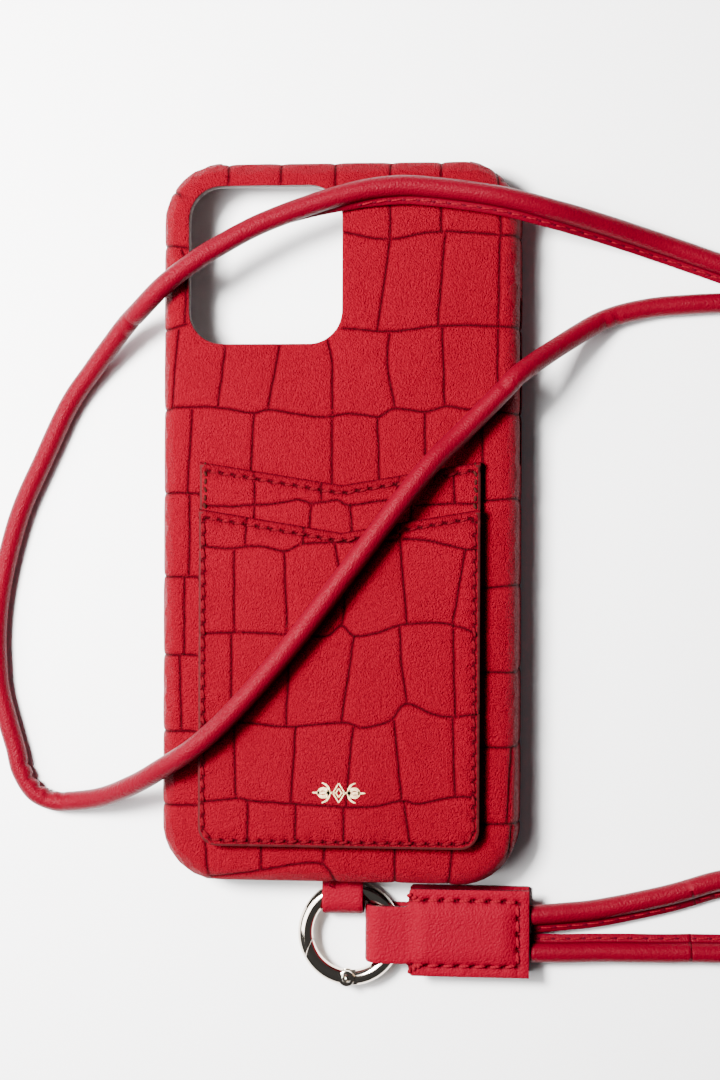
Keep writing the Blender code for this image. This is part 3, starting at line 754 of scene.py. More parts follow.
CASE_CREASES = [
    # across the back, from the top down
    [(0.8, 60.5), (10.5, 59.0), (21.0, 60.5), (37.0, 59.5), (47.5, 60.0)],
    [(-47.5, 58.5), (-37.0, 58.0), (-32.2, 57.5)],
    [(0.8, 40.5), (11.0, 39.8), (23.0, 41.0), (37.0, 40.5), (47.5, 41.0)],
    [(-47.5, 40.0), (-37.0, 40.5), (-32.2, 41.5)],
    [(-47.5, 24.5), (-37.0, 23.5), (-34.5, 24.0), (-25.5, 24.0), (-18.5, 22.8), (-14.5, 23.5), (-4.5, 22.0),
     (2.5, 22.7), (8.0, 22.0), (11.5, 23.7), (18.0, 23.0), (22.5, 24.2), (27.0, 23.5), (37.5, 22.7),
     (47.5, 23.0)],
    # strips beside the pockets
    [(-47.5, 5.5), (-38.0, 6.0), (-30.0, 6.0)],
    [(-47.5, -11.0), (-38.0, -11.5), (-30.0, -11.5)],
    [(-47.5, -28.5), (-38.0, -28.0), (-30.0, -28.0)],
    [(-47.5, -44.0), (-38.0, -44.0), (-30.0, -44.0)],
    [(-47.5, -60.0), (-38.0, -59.5), (-28.0, -59.5)],
    [(30.0, 4.5), (38.0, 5.0), (47.5, 4.5)],
    [(30.0, -13.5), (38.0, -13.0), (47.5, -13.5)],
    [(30.0, -31.0), (38.0, -31.0), (47.5, -30.5)],
    [(30.0, -46.5), (38.0, -46.5), (47.5, -46.0)],
    [(28.0, -62.5), (38.0, -62.5), (47.5, -63.5)],
    # upright creases above the window and the top right cells
    [(-23.5, 78.0), (-23.5, 70.6)],
    [(-12.5, 78.0), (-12.5, 70.6)],
    [(-1.0, 78.0), (-1.0, 69.5)],
    [(10.5, 78.0), (10.5, 59.5)],
    [(21.0, 78.0), (21.2, 60.2)],
    [(33.5, 80.0), (33.2, 72.0), (33.5, 59.5)],
    [(10.5, 58.8), (8.0, 40.5)],
    [(22.0, 59.8), (20.5, 41.2)],
    [(33.4, 59.0), (33.0, 41.0)],
    [(-33.4, 57.0), (-32.6, 54.0), (-32.6, 42.0)],
    [(-34.0, 40.2), (-35.5, 24.2)],
    [(-24.0, 37.0), (-25.5, 24.5)],
    [(-12.5, 37.0), (-15.0, 24.0)],
    [(-2.5, 38.0), (-1.5, 33.0), (-1.5, 23.0)],
    [(10.5, 39.2), (10.0, 33.0), (11.5, 24.5)],
    [(21.5, 40.2), (22.0, 24.8)],
    [(33.0, 40.0), (33.0, 24.0)],
    [(-31.0, 23.5), (-32.0, 6.5)],
    [(-18.0, 22.5), (-18.5, 10.0)],
    [(-1.5, 21.8), (-1.5, 7.0)],
    [(8.0, 21.5), (8.5, 8.0)],
    [(18.0, 22.6), (18.0, 10.0)],
    [(29.6, 23.0), (30.3, 5.2)],
    [(-31.5, 5.5), (-31.5, -11.0)],
    [(-32.5, -12.0), (-32.5, -27.5)],
    [(-33.5, -28.5), (-33.0, -43.5)],
    [(36.4, -47.0), (35.4, -62.0)],
    [(36.6, -63.0), (36.0, -70.0)],
    # below the pockets
    [(-28.0, -66.5), (-27.0, -78.0)],
    [(-16.0, -66.5), (-16.0, -72.8)],
    [(-2.5, -66.5), (-3.0, -71.3)],
    [(12.0, -66.5), (12.0, -78.0)],
    [(24.0, -66.5), (23.0, -78.0)],
    [(-27.0, -75.0), (-16.0, -73.0), (-9.5, -71.6), (-3.5, -71.4), (-1.0, -74.5), (-0.5, -78.0)],
    # along the walls
    [(41.8, 66.0), (41.5, 60.0), (41.9, 50.0)],
    [(42.0, 9.0), (42.4, -4.0), (41.8, -13.0)],
    [(41.6, -31.0), (42.2, -46.0)],
    [(-41.8, 58.0), (-42.2, 40.5)],
    [(-42.0, 13.0), (-42.0, 6.0), (-41.6, -11.0)],
    [(-42.2, -28.0), (-41.8, -44.0)],
    [(-42.0, -60.0), (-43.0, -70.0), (-41.0, -78.0)],
    [(42.0, -63.0), (43.0, -70.0), (40.0, -78.0)],
    [(-47.5, 74.5), (-40.0, 72.0), (-34.0, 69.0)],
    [(47.5, 76.5), (40.0, 74.5), (34.0, 71.5)],
]


def unrolled_frame(flat):
    """Where an unrolled point lies on the case's outside, with its outward normal."""
    sign = np.sign(flat) + (flat == 0)
    past = np.abs(flat) - (HALF - FLAT_CORNER)
    both = np.maximum(past, 0.0)
    reach = np.linalg.norm(both, axis=1)
    signed = reach + np.minimum(past.max(axis=1), 0.0) - FLAT_CORNER
    axis = np.where(reach[:, None] > 1e-9, both / np.maximum(reach, 1e-9)[:, None], 0.0) * sign
    run = np.maximum(signed, 0.0)
    turn = np.minimum(run / SHOULDER, math.pi / 2)
    wall = np.maximum(run - SHOULDER * math.pi / 2, 0.0)
    base = flat - axis * run[:, None]
    flare = np.where(axis[:, 0] > 0, 0.5, 0.2) * np.clip(np.abs(axis[:, 0]), 0, 1) * (wall / 7.4) ** 1.3
    place = np.column_stack([
        base + axis * (SHOULDER * np.sin(turn) + flare)[:, None],
        CASE_TOP - SHOULDER * (1 - np.cos(turn)) - wall,
    ])
    normal = np.column_stack([axis * np.sin(turn)[:, None], np.cos(turn)])
    normal[run <= 0] = (0.0, 0.0, 1.0)
    return place, normal


def wrap_noise(points, seed):
    """A smooth wavering of about one unit over some ten millimetres."""
    chance = np.random.default_rng(seed)
    total = np.zeros(len(points))
    for _ in range(6):
        way = chance.uniform(-1, 1, points.shape[1])
        way *= chance.uniform(0.25, 0.7) / np.linalg.norm(way)
        total += np.sin(points @ way + chance.uniform(0, 6.28))
    return total / 6


def make_skin():
    window = rounded(*WINDOW)
    cut_top = densify([(27.1, 75.85), (28.6, 86.5), (-25.6, 86.5), (-25.4, 75.85)])
    cut_bottom = densify([(-26.6, -75.85), (-28.0, -86.5), (22.7, -86.5), (22.7, -75.85)])
    slot_right = rounded((40.4, 45.0), (12.0, 47.5), 1.2)
    slot_left = rounded((-45.0, -40.4), (16.0, 31.0), 1.2)
    outer = rounded((-46.9, 46.9), (-85.15, 85.15), 21.9)
    creases = Creases(CASE_CREASES, seed=1)
    holes = [window, cut_top, cut_bottom, slot_right, slot_left]
    flat, faces = sheet_plan(outer, holes, creases)
    place, normal = unrolled_frame(flat)
    sink, dark = creases.depth(flat)
    rim = edge_distance(flat, window)
    sink = sink + 0.22 * np.clip(1 - rim / 0.6, 0, 1) ** 2
    lift = 0.05 * wrap_noise(flat, 3)
    top = place + normal * (lift - sink)[:, None]
    top[:, 2] = np.maximum(top[:, 2], 0.3)
    inner = place - normal * SKIN
    mesh = sheet_mesh("skin", faces, top, inner, dark, 1)
    finish_piece("skin", mesh, ("panel_leather", "painted_edge"), "case", ("leather_skin",))


# ---- Pockets ----

POCKET_X = (-29.0, 29.5)
POCKET_BOTTOM = -67.4
POCKET_CORNER = 4.0
POCKET_MIDDLE = 0.8
POCKET_TOP = 12.5
REAR_DIP = 4.8
FRONT_TOP = 2.7
FRONT_DIP = 4.9
LAYERS = {"backing": (11.05, 12.2), "rear": (12.2, 13.2), "front": (13.2, 14.2)}
SEAM = 1.1
STITCH_PITCH = 2.65

FRONT_CREASES = [
    [(-29.5, -5.0), (-23.0, -5.5), (-16.5, -5.0), (-11.0, -6.0), (-7.0, -4.5), (1.0, -4.2), (8.0, -4.0),
     (17.0, -3.5), (27.0, -5.5), (30.0, -5.5)],
    [(-29.5, -23.5), (-22.0, -23.0), (-7.0, -23.5), (-2.0, -23.5), (1.0, -21.5), (3.5, -23.5), (8.0, -23.0),
     (14.5, -21.0), (23.5, -21.0), (30.0, -23.5)],
    [(-29.0, -42.0), (-21.5, -41.5), (-11.0, -42.5), (1.0, -41.5), (5.5, -42.5), (11.0, -41.0), (14.5, -37.5),
     (20.0, -39.5), (23.5, -40.0), (30.0, -39.5)],
    [(-29.0, -58.5), (-21.0, -57.5), (-17.5, -58.0), (-8.0, -58.5), (5.5, -59.0), (13.5, -57.5),
     (17.0, -58.0), (25.0, -56.5), (30.0, -57.0)],
    [(-19.0, 1.0), (-19.2, -5.0)],
    [(-7.0, -0.8), (-7.2, -4.5)],
    [(13.0, 0.0), (13.0, -3.7)],
    [(-21.5, -6.0), (-21.5, -22.7)],
    [(-11.0, -6.5), (-10.5, -19.5), (-10.5, -23.2)],
    [(-0.5, -4.7), (1.5, -15.5), (1.0, -21.0)],
    [(13.0, -4.2), (14.5, -20.7)],
    [(26.5, -5.8), (24.0, -20.7)],
    [(-22.0, -23.5), (-22.0, -41.2)],
    [(-10.0, -24.0), (-10.0, -28.0), (-10.5, -42.0)],
    [(3.5, -23.9), (1.0, -41.0)],
    [(13.0, -21.9), (13.5, -29.5), (14.5, -37.0)],
    [(24.0, -21.5), (24.5, -39.6)],
    [(-21.5, -42.0), (-21.0, -57.2)],
    [(-8.5, -42.9), (-9.5, -58.0)],
    [(3.5, -42.5), (2.0, -58.5)],
    [(12.0, -41.0), (13.5, -57.0)],
    [(24.0, -40.3), (24.5, -56.2)],
    [(-18.5, -58.3), (-18.5, -67.2)],
    [(-8.5, -58.8), (-8.5, -67.2)],
    [(1.5, -59.0), (1.5, -67.2)],
    [(14.0, -57.9), (15.5, -67.2)],
]
REAR_CREASES = [
    [(-28.5, 3.4), (-22.0, 3.2), (-18.0, 3.5), (-13.0, 3.8), (-8.5, 4.6), (-5.5, 4.0), (-2.0, 4.3),
     (0.0, 4.6), (2.5, 3.6), (10.0, 4.6)],
    [(16.0, 3.6), (29.5, 4.0)],
    [(-17.5, 10.5), (-17.5, 0.5)],
    [(-3.5, 8.2), (-3.5, 4.2)],
    [(-5.5, 3.9), (-6.0, -1.5)],
    [(2.5, 3.6), (3.0, -2.5)],
    [(13.0, 10.0), (12.0, 5.0)],
    [(15.5, 3.6), (15.0, -1.0)],
    [(24.0, 11.5), (24.2, 4.0)],
]


def pocket_outline(top, dip):
    left, right = POCKET_X
    low = POCKET_BOTTOM + POCKET_CORNER
    loop = [(right, top), (POCKET_MIDDLE, top - dip), (left, top)]
    for x, start in ((left + POCKET_CORNER, 180), (right - POCKET_CORNER, 270)):
        for i in range(9):
            turn = math.radians(start + 90 * i / 8)
            loop.append((x + POCKET_CORNER * math.cos(turn), low + POCKET_CORNER * math.sin(turn)))
    return densify(loop)


def hem_distance(points, top, dip):
    """How far below its pocket's V-shaped upper edge each point lies."""
    edge = np.interp(points[:, 0], (POCKET_X[0], POCKET_MIDDLE, POCKET_X[1]), (top, top - dip, top))
    return edge - points[:, 1]


def seam_line(points, pitch=STITCH_PITCH):
    """Hole positions at an even pitch along a polyline."""
    fine = np.array(densify(points, 0.1, closed=False))
    lengths = run_lengths(fine)
    count = max(1, round(lengths[-1] / pitch))
    return pick(np.linspace(0, lengths[-1], count + 1), lengths, fine)


def edge_seam():
    left, right = POCKET_X[0] + SEAM, POCKET_X[1] - SEAM
    turn = POCKET_CORNER - SEAM
    low = POCKET_BOTTOM + SEAM + turn
    line = [(left, FRONT_TOP - 2.6)]
    for x, start in ((left + turn, 180), (right - turn, 270)):
        for i in range(7):
            angle = math.radians(start + 90 * i / 6)
            line.append((x + turn * math.cos(angle), low + turn * math.sin(angle)))
    line.append((right, FRONT_TOP - 2.6))
    return line


def hem_seam(top, dip, hem=1.75):
    left, right = POCKET_X[0] + SEAM + 0.8, POCKET_X[1] - SEAM - 0.8
    return [(left, top - hem - 0.15), (POCKET_MIDDLE, top - dip - hem), (right, top - hem - 0.15)]


# Along one stitch: how far on, how far across, how high and how thick it is.
STITCH_SHAPE = (
    (0.02, -0.5, -0.30, 0.75), (0.12, -0.42, -0.02, 1.0), (0.3, -0.22, 0.12, 1.1), (0.5, 0.0, 0.15, 1.12),
    (0.7, 0.22, 0.12, 1.1), (0.88, 0.42, -0.02, 1.0), (0.98, 0.5, -0.30, 0.75),
)
LONGEST_STITCH = 6.0


def thread_pieces(holes, level, slant=0.34, radius=0.24):
    """Slanted stitches from hole to hole: each rises out of one hole, lies flat and dips into the next."""
    parts = []
    for a, b in zip(holes, holes[1:]):
        run = b - a
        length = np.linalg.norm(run)
        if length > LONGEST_STITCH:
            continue
        across = np.array((-run[1], run[0])) / length
        path, sections = [], []
        for share, side, height, size in STITCH_SHAPE:
            spot = a + run * (0.13 + 0.74 * share) + across * slant * side
            path.append((spot[0], spot[1], level + height))
            sections.append(ellipse(radius * 1.15 * size, radius * 0.8 * size, 7))
        parts.append(sweep(path, sections))
    return joined(parts)


def thread_object(name, holes, level, node, body="case", material="thread", **options):
    mesh = mesh_of(name, *thread_pieces(holes, level, **options))
    return finish_piece(name, mesh, [material], body, (node,) if node else ())


def make_pocket(name, node, top, dip, layer, lines, holes, seed):
    outer = pocket_outline(top, dip)
    creases = Creases(lines, holes, seed)
    flat, faces = sheet_plan(outer, [], creases, gap=0.22)
    sink, dark = creases.depth(flat)
    below = hem_distance(flat, top, dip)
    rim = edge_distance(flat, outer)
    low, high = LAYERS[layer]
    if layer != "backing":
        bead = np.clip(1 - ((below - 0.95) / 0.95) ** 2, 0, 1)
        sink = sink - 0.34 * np.sqrt(bead)
        # Painted shade: a line along the pressed hem seam, and a band below the V-shaped mouth where the
        # rolled lip turns away, darkest on the lip's outer 0.3 mm.
        dark = np.maximum(dark, 0.30 * fade(below - 1.95, 0.22))
        dark = np.maximum(dark, 0.25 * np.clip(1.5 - below / 0.9, 0, 1))
        dark = np.maximum(dark, 0.85 * np.clip(1 - below / 0.3, 0, 1))
        sink = sink + 0.10 * fade(below - 1.98, 0.3)
    side = below > 0.5
    sink = sink + np.where(side, 0.30 * np.clip(1 - rim / 0.55, 0, 1) ** 2, 0.0)
    lift = 0.04 * wrap_noise(flat, seed + 20)
    top_points = np.column_stack([flat, high + lift - sink])
    bottom = np.column_stack([flat, np.full(len(flat), low)])
    mesh = sheet_mesh(name, faces, top_points, bottom, dark, 1, side & (rim < 0.62))
    finish_piece(name, mesh, ("pocket_leather", "painted_edge"), "case", (node,))


def make_pockets():
    seam = seam_line(edge_seam())
    front_hem = seam_line(hem_seam(FRONT_TOP, FRONT_DIP))
    rear_hem = seam_line(hem_seam(POCKET_TOP, REAR_DIP))
    make_pocket("pocket_back", "pocket_backing", POCKET_TOP, REAR_DIP, "backing", [], (), 31)
    make_pocket("pocket_rear", "rear_card_pocket", POCKET_TOP, REAR_DIP, "rear", REAR_CREASES, rear_hem, 32)
    make_pocket("pocket_front", "front_card_pocket", FRONT_TOP, FRONT_DIP, "front", FRONT_CREASES,
                np.concatenate([seam, front_hem]), 33)
    thread_object("edge_stitches", seam, 14.05, "pocket_edge_thread")
    thread_object("front_stitches", front_hem, 14.05, "front_hem_thread")
    thread_object("rear_stitches", rear_hem, 13.05, "rear_hem_thread")
    for side, x in (("left", POCKET_X[0] + SEAM), ("right", POCKET_X[1] - SEAM)):
        line = seam_line([(x, POCKET_TOP + 0.1), (x + 0.15, POCKET_TOP - 4.6), (x, FRONT_TOP - 0.2)], 1.7)
        line[::2, 0] += 0.2
        line[1::2, 0] -= 0.2
        thread_object(f"tack_{side}", line, 13.1, f"pocket_tack_{side}", material="dark_thread", slant=0.2)


# ---- Foil ornament, a generic scroll ----

FOIL_CENTRE = np.array((0.5, -56.0))
FOIL_LEVELS = (14.12, 14.27)
DIAMOND_WIDTH = 0.62


def ribbon(line, widths):
    """A thin flat stroke along a plane curve."""
    normal = leftward(unit(np.gradient(line, axis=0))) * widths[:, None] / 2
    base, top = FOIL_LEVELS
    n = len(line)
    verts = [(x, y, z) for z in (top, base) for edge in (line + normal, line - normal) for x, y in edge]
    faces = []
    for i in range(n - 1):
        faces.append((i, n + i, n + i + 1, i + 1))
        faces.append((2 * n + i, 2 * n + i + 1, 3 * n + i + 1, 3 * n + i))
        faces.append((i, i + 1, 2 * n + i + 1, 2 * n + i))
        faces.append((n + i, 3 * n + i, 3 * n + i + 1, n + i + 1))
    faces.append((0, 2 * n, 3 * n, n))
    faces.append((2 * n - 1, 4 * n - 1, 3 * n - 1, n - 1))
    return np.array(verts), faces


def swelling(count, least, most):
    """Stroke widths that swell towards the middle."""
    return least + most * np.sin(np.linspace(0.1, 3.1, count))


def foil_strokes():
    """A pair of curls and a bar on each side of two nested diamonds."""
    for mirror in (-1, 1):
        for lift in (-1, 1):
            turn = np.linspace(0.0, 5.2, 36)
            reach = 2.0 * np.exp(-0.22 * turn)
            curl = np.stack([3.5 + reach * np.cos(turn + 1.57),
                             lift * (0.15 + reach * np.sin(turn + 1.57) * 0.95)], axis=1)
            yield curl * (mirror, 1.0), swelling(36, 0.18, 0.5)
        yield np.stack([np.linspace(0.8, 5.5, 20) * mirror, np.zeros(20)], axis=1), swelling(20, 0.16, 0.36)
    for size in (0.95, 2.0):
        corners = ellipse(size * DIAMOND_WIDTH, size, 4)
        for start, end in zip(corners, corners[1:] + corners[:1]):
            yield np.linspace(start, end, 10), np.full(10, 0.24)


def make_foil():
    verts, faces = joined([ribbon(line + FOIL_CENTRE, widths) for line, widths in foil_strokes()])
    mesh = mesh_of("foil", verts, faces, smooth=False)
    finish_piece("foil", mesh, ("foil",), "case", ("foil_ornament",))


# ---- Tab, connector and lining ----

def profile_frame(route, step=0.15):
    """Lengths, points and upward normals along a route drawn in a plane."""
    fine = smooth_route(route, step)
    return run_lengths(fine), fine, leftward(unit(np.gradient(fine, axis=0)))


def along_route(frame_data, where, offset):
    """Plane points at given lengths along a route, moved along its normals."""
    lengths, fine, normal = frame_data
    return pick(where, lengths, fine) + unit(pick(where, lengths, normal)) * np.asarray(offset)[:, None]


RING_LEVEL = 3.15
WIRE = 1.65
TAB_X = (-3.7, 4.9)
TAB_THICK = 1.0
TAB_FOLD = -80.2
RING_SLACK = 0.3


def half_turn(centre, radius, count=14):
    turns = [math.radians(90 + 180 * i / count) for i in range(count + 1)]
    return [(centre + radius * math.cos(t), RING_LEVEL + radius * math.sin(t)) for t in turns]


def tab_route():
    """Out of the case, round the ring and back in below, as (along, height) points."""
    reach = WIRE + RING_SLACK + TAB_THICK / 2
    route = [(-67.0, 7.7), (-70.0, 7.7), (-72.4, 7.6), (-74.2, 7.05), (-76.4, RING_LEVEL + reach)]
    route += half_turn(TAB_FOLD, reach)
    return route + [(-76.7, RING_LEVEL - reach + 0.05), (-75.7, 1.35), (-75.2, 2.9), (-75.2, 5.2)]


def make_tab():
    """The tab is drawn flat with its length along x."""
    data = profile_frame(tab_route())
    total = data[0][-1]
    left, right = TAB_X
    outer = densify([(0.0, left), (total, left), (total, right), (0.0, right)], 0.5)
    flat, faces = sheet_plan(outer, [], Creases([]), grid=0.8, gap=0.3)
    run, across = flat.T
    ease = 0.22 * np.clip(1 - np.minimum(across - left, right - across) / 0.5, 0, 1) ** 2
    half = TAB_THICK / 2
    wave = 0.04 * wrap_noise(flat, 41)
    upper = along_route(data, run, -(half - ease + wave))
    lower = along_route(data, run, half - ease)
    across = across + 0.18 * np.sin(run * 0.35) * np.clip(run / total, 0, 1)
    mesh = sheet_mesh("tab", faces, np.column_stack([across, upper]), np.column_stack([across, lower]),
                      np.zeros(len(flat)), 1)
    tab = finish_piece("tab", mesh, ("smooth_leather", "painted_edge"), None, ("ring_tab",))
    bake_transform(tab)


def make_tab_patch():
    """The tab's wide end inside the case."""
    outer = rounded((-11.4, 12.6), (-68.0, -46.0), 4.0)
    flat, faces = sheet_plan(outer, [], Creases([]), grid=1.2, gap=0.3)
    ease = 0.2 * np.clip(1 - edge_distance(flat, outer) / 0.6, 0, 1) ** 2
    wave = 0.05 * wrap_noise(flat, 42)
    mesh = sheet_mesh("tab_patch", faces, np.column_stack([flat, 8.2 - ease]),
                      np.column_stack([flat, 7.2 + ease + wave]), np.zeros(len(flat)), 1)
    looks = ("smooth_leather", "painted_edge")
    finish_piece("tab_patch", mesh, looks, "case", ("ring_tab",))


def make_loose_thread():
    tail = smooth_route([(-1.9, -74.6, 7.2), (-1.6, -75.4, 7.9), (-2.1, -76.3, 7.6), (-1.5, -76.9, 6.9)], 0.2)
    mesh = mesh_of("loose_thread", *sweep(tail, [ellipse(0.16, 0.16, 7)] * len(tail)))
    loose = finish_piece("loose_thread", mesh, ("thread",), None, ("ring_tab",))
    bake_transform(loose)


CONNECTOR_X = (14.7, 39.9)
CONNECTOR_Y = (-95.5, -77.2)
NECK_Y = (-93.0, -81.0)
NECK_FOLD = 8.3
CONNECTOR_THICK = 1.15
CONNECTOR_REACH = WIRE + RING_SLACK + CONNECTOR_THICK / 2
CONNECTOR_PITCH = 3.3
STITCH_INSET = 2.3
CROWN = 0.8


def connector_seam():
    left, right = CONNECTOR_X[0] + 0.3, CONNECTOR_X[1] - STITCH_INSET
    low, high = CONNECTOR_Y[0] + STITCH_INSET, CONNECTOR_Y[1] - STITCH_INSET
    return seam_line([(left, high), (right, high), (right, low), (left, low)], CONNECTOR_PITCH)


def connector_edge(total, wide, level, neck, inward):
    """One long edge of the flat connector, which is narrower at its neck."""
    half = [(0.0, level), (wide - 0.6, level), (wide, level + 0.5 * inward),
            (wide + 0.2, neck - 0.4 * inward), (wide + 0.7, neck)]
    return half + [(total - x, y) for x, y in reversed(half)]


def connector_relief(flat, wide):
    """The padded crown inside the upper leaf's seam, less the line pressed along the seam."""
    low, high = CONNECTOR_Y
    reach = (high - low) / 2 - STITCH_INSET
    off_middle = np.abs(flat[:, 1] - (low + high) / 2)
    upper_leaf = flat[:, 0] < wide
    inner_x = np.clip(np.minimum(flat[:, 0] - STITCH_INSET, wide - flat[:, 0]) / 3.0, 0, 1)
    inner_y = np.clip((reach - off_middle) / 3.0, 0, 1)
    crown = CROWN * inner_x * np.sqrt(inner_y)
    press = 0.14 * fade(np.minimum(np.abs(off_middle - reach), np.abs(flat[:, 0] - STITCH_INSET)), 0.5)
    return np.where(upper_leaf, crown - press, 0.0)


def make_connector():
    """One leaf of leather folded round the ring, drawn flat with its length along x."""
    right = CONNECTOR_X[1]
    wide = right - CONNECTOR_X[0]
    low, high = CONNECTOR_Y
    upper_leaf = [(x, RING_LEVEL + CONNECTOR_REACH) for x in (right, 30.0, 20.0, 12.0)]
    lower_leaf = [(x, RING_LEVEL - CONNECTOR_REACH) for x, _ in reversed(upper_leaf)]
    data = profile_frame(upper_leaf + half_turn(NECK_FOLD, CONNECTOR_REACH) + lower_leaf)
    total = data[0][-1]
    outline = connector_edge(total, wide, low, NECK_Y[0], 1)
    outline += connector_edge(total, wide, high, NECK_Y[1], -1)[::-1]
    outer = densify(outline, 0.5)
    seam = connector_seam()
    creases = Creases([], np.stack([right - seam[:, 0], seam[:, 1]], axis=1), 6)
    flat, faces = sheet_plan(outer, [], creases, grid=0.85, gap=0.26)
    sink, dark = creases.depth(flat)
    ease = 0.24 * np.clip(1 - edge_distance(flat, outer) / 0.6, 0, 1) ** 2
    wave = 0.05 * wrap_noise(flat, 51)
    half = CONNECTOR_THICK / 2
    upper = along_route(data, flat[:, 0], -(half - ease - sink + connector_relief(flat, wide) + wave))
    lower = along_route(data, flat[:, 0], np.full(len(flat), half))
    top = np.column_stack([upper[:, 0], flat[:, 1], np.maximum(upper[:, 1], FLOOR_CLEARANCE)])
    bottom = np.column_stack([lower[:, 0], flat[:, 1], lower[:, 1]])
    mesh = sheet_mesh("connector", faces[:, ::-1], top, bottom, dark, 1)
    looks = ("smooth_leather", "dark_edge")
    piece = finish_piece("connector", mesh, looks, None, ("connector_leather",))
    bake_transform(piece)


def make_connector_thread():
    """The seam and the knots where it starts and ends."""
    level = RING_LEVEL + CONNECTOR_REACH + CONNECTOR_THICK / 2
    thread_object("connector_stitches", connector_seam(), level - 0.18, "connector_thread", "connector",
                  "strap_thread", slant=0.3, radius=0.3)
    left = CONNECTOR_X[0]
    for name, y, sign in (("upper", CONNECTOR_Y[1] - 1.6, 1), ("lower", CONNECTOR_Y[0] + 1.5, -1)):
        knot = seam_line([(left - 0.3, y + 0.6 * sign), (left + 2.6, y - 0.9 * sign)], 1.1)
        thread_object(f"connector_knot_{name}", knot, level - 0.1, None, "connector", "strap_thread",
                      slant=0.7, radius=0.36)


def make_filler():
    """The board between the connector's leaves."""
    flat, faces = sheet_plan(rounded((15.0, 39.2), (-94.4, -78.4), 0.5), [], Creases([]), grid=1.5, gap=0.3)
    wave = 0.05 * wrap_noise(flat, 55)
    top, bottom = np.column_stack([flat, 4.8 + wave]), np.column_stack([flat, 1.5 - wave])
    mesh = sheet_mesh("filler", faces, top, bottom, np.zeros(len(flat)))
    finish_piece("filler", mesh, ("board",), "connector", ("connector_filler",))


def make_lining():
    outer = rounded((-34.65, 34.65), (-72.9, 72.9), 9.6, 1.0)
    window = rounded(*WINDOW)
    flat, faces = sheet_plan(outer, [window], Creases([]), grid=1.4, gap=0.4)
    wave = wrap_noise(flat * 2.0, 61)
    chance = np.random.default_rng(62)
    nap = chance.uniform(-0.03, 0.03, len(flat))
    mesh = sheet_mesh("lining", faces, np.column_stack([flat, np.full(len(flat), 9.0)]),
                      np.column_stack([flat, 8.5 + 0.06 * wave + nap]), np.zeros(len(flat)))
    finish_piece("lining", mesh, ("microfibre",), "case", ("microfibre_lining",))


# ---- Ring and gate ----

RING_CENTRE = (2.0, -87.3)
RING_RADIUS = 9.5
GATE_START = 200.0
RIVET_ANGLE = 266.0
GATE_END = 278.0
RING_SIDES = 40


def ring_arc(start, end, slant_start=0.0, slant_end=0.0):
    """A smooth round wire along the ring's circle, its end faces slanted by sliding their rims."""
    count = max(8, int(abs(end - start) / 2.5))
    verts = []
    for i in range(count + 1):
        share = i / count
        angle = start + (end - start) * share
        for k in range(RING_SIDES):
            turn = TURN * k / RING_SIDES
            outward = WIRE * math.cos(turn)
            slide = slant_start * max(0.0, 1 - share * 6) + slant_end * max(0.0, 1 - (1 - share) * 6)
            here = math.radians(angle) + slide * outward / RING_RADIUS
            radius = RING_RADIUS + outward
            verts.append((RING_CENTRE[0] + radius * math.cos(here), RING_CENTRE[1] + radius * math.sin(here),
                          RING_LEVEL + WIRE * math.sin(turn)))
    faces = tube_faces(count + 1, RING_SIDES)
    return np.array(verts), [f[::-1] for f in faces[:-2]] + faces[-2:]


def lathe(centre, profile, sides=40):
    """A closed turned shape about an upright axis from (radius, height) pairs, bottom to top."""
    verts = [(centre[0] + x, centre[1] + y, height)
             for radius, height in profile for x, y in ellipse(radius, radius, sides)]
    return np.array(verts), tube_faces(len(profile), sides)


def rounded_disc(centre, radius, low, high, ease=0.25):
    return lathe(centre, [
        (radius - ease, low), (radius - ease * 0.3, low + ease * 0.3), (radius, low + ease),
        (radius, high - ease), (radius - ease * 0.3, high - ease * 0.3), (radius - ease, high),
    ])


def metal_piece(name, parts, body, nodes):
    mesh = mesh_of(name, *joined(parts))
    mesh.set_sharp_from_angle(angle=math.radians(38))
    return finish_piece(name, mesh, ("chrome",), body, nodes)


def make_ring():
    gap = 1.0
    rivet = math.radians(RIVET_ANGLE)
    pivot = (RING_CENTRE[0] + RING_RADIUS * math.cos(rivet), RING_CENTRE[1] + RING_RADIUS * math.sin(rivet))
    slant = math.tan(math.radians(50.0))
    ring = ring_arc(GATE_END + gap, 360 + GATE_START - gap, 0.0, slant)
    tongue = rounded_disc(pivot, 1.2, RING_LEVEL - 0.5, RING_LEVEL + 0.5, 0.1)
    neck = ring_arc(RIVET_ANGLE + 4, GATE_END + gap + 2)
    neck = (np.column_stack([neck[0][:, :2], RING_LEVEL + (neck[0][:, 2] - RING_LEVEL) * 0.3]), neck[1])
    metal_piece("ring_wire", [ring, tongue, neck], "ring", ("ring_body",))
    gate = ring_arc(GATE_START + gap, RIVET_ANGLE - 6.5, slant, 0.0)
    upper = rounded_disc(pivot, 1.72, RING_LEVEL + 0.75, RING_LEVEL + 1.5, 0.3)
    lower = rounded_disc(pivot, 1.72, RING_LEVEL - 1.5, RING_LEVEL - 0.75, 0.3)
    metal_piece("ring_gate_arm", [gate, upper, lower], "gate", ("ring_gate",))
    head = RING_LEVEL + 1.5
    dome = lathe(pivot, [
        (0.85, RING_LEVEL - 1.8), (0.9, RING_LEVEL - 1.6), (0.55, RING_LEVEL - 1.6), (0.55, RING_LEVEL + 1.5),
        (0.9, head - 0.1), (0.9, head + 0.06), (0.8, head + 0.16), (0.6, head + 0.18), (0.52, head + 0.1),
        (0.44, head + 0.1), (0.34, head + 0.22), (0.18, head + 0.3), (0.02, head + 0.32),
    ])
    metal_piece("rivet", [dome], "ring", ("gate_rivet",))


# ---- Strap ----

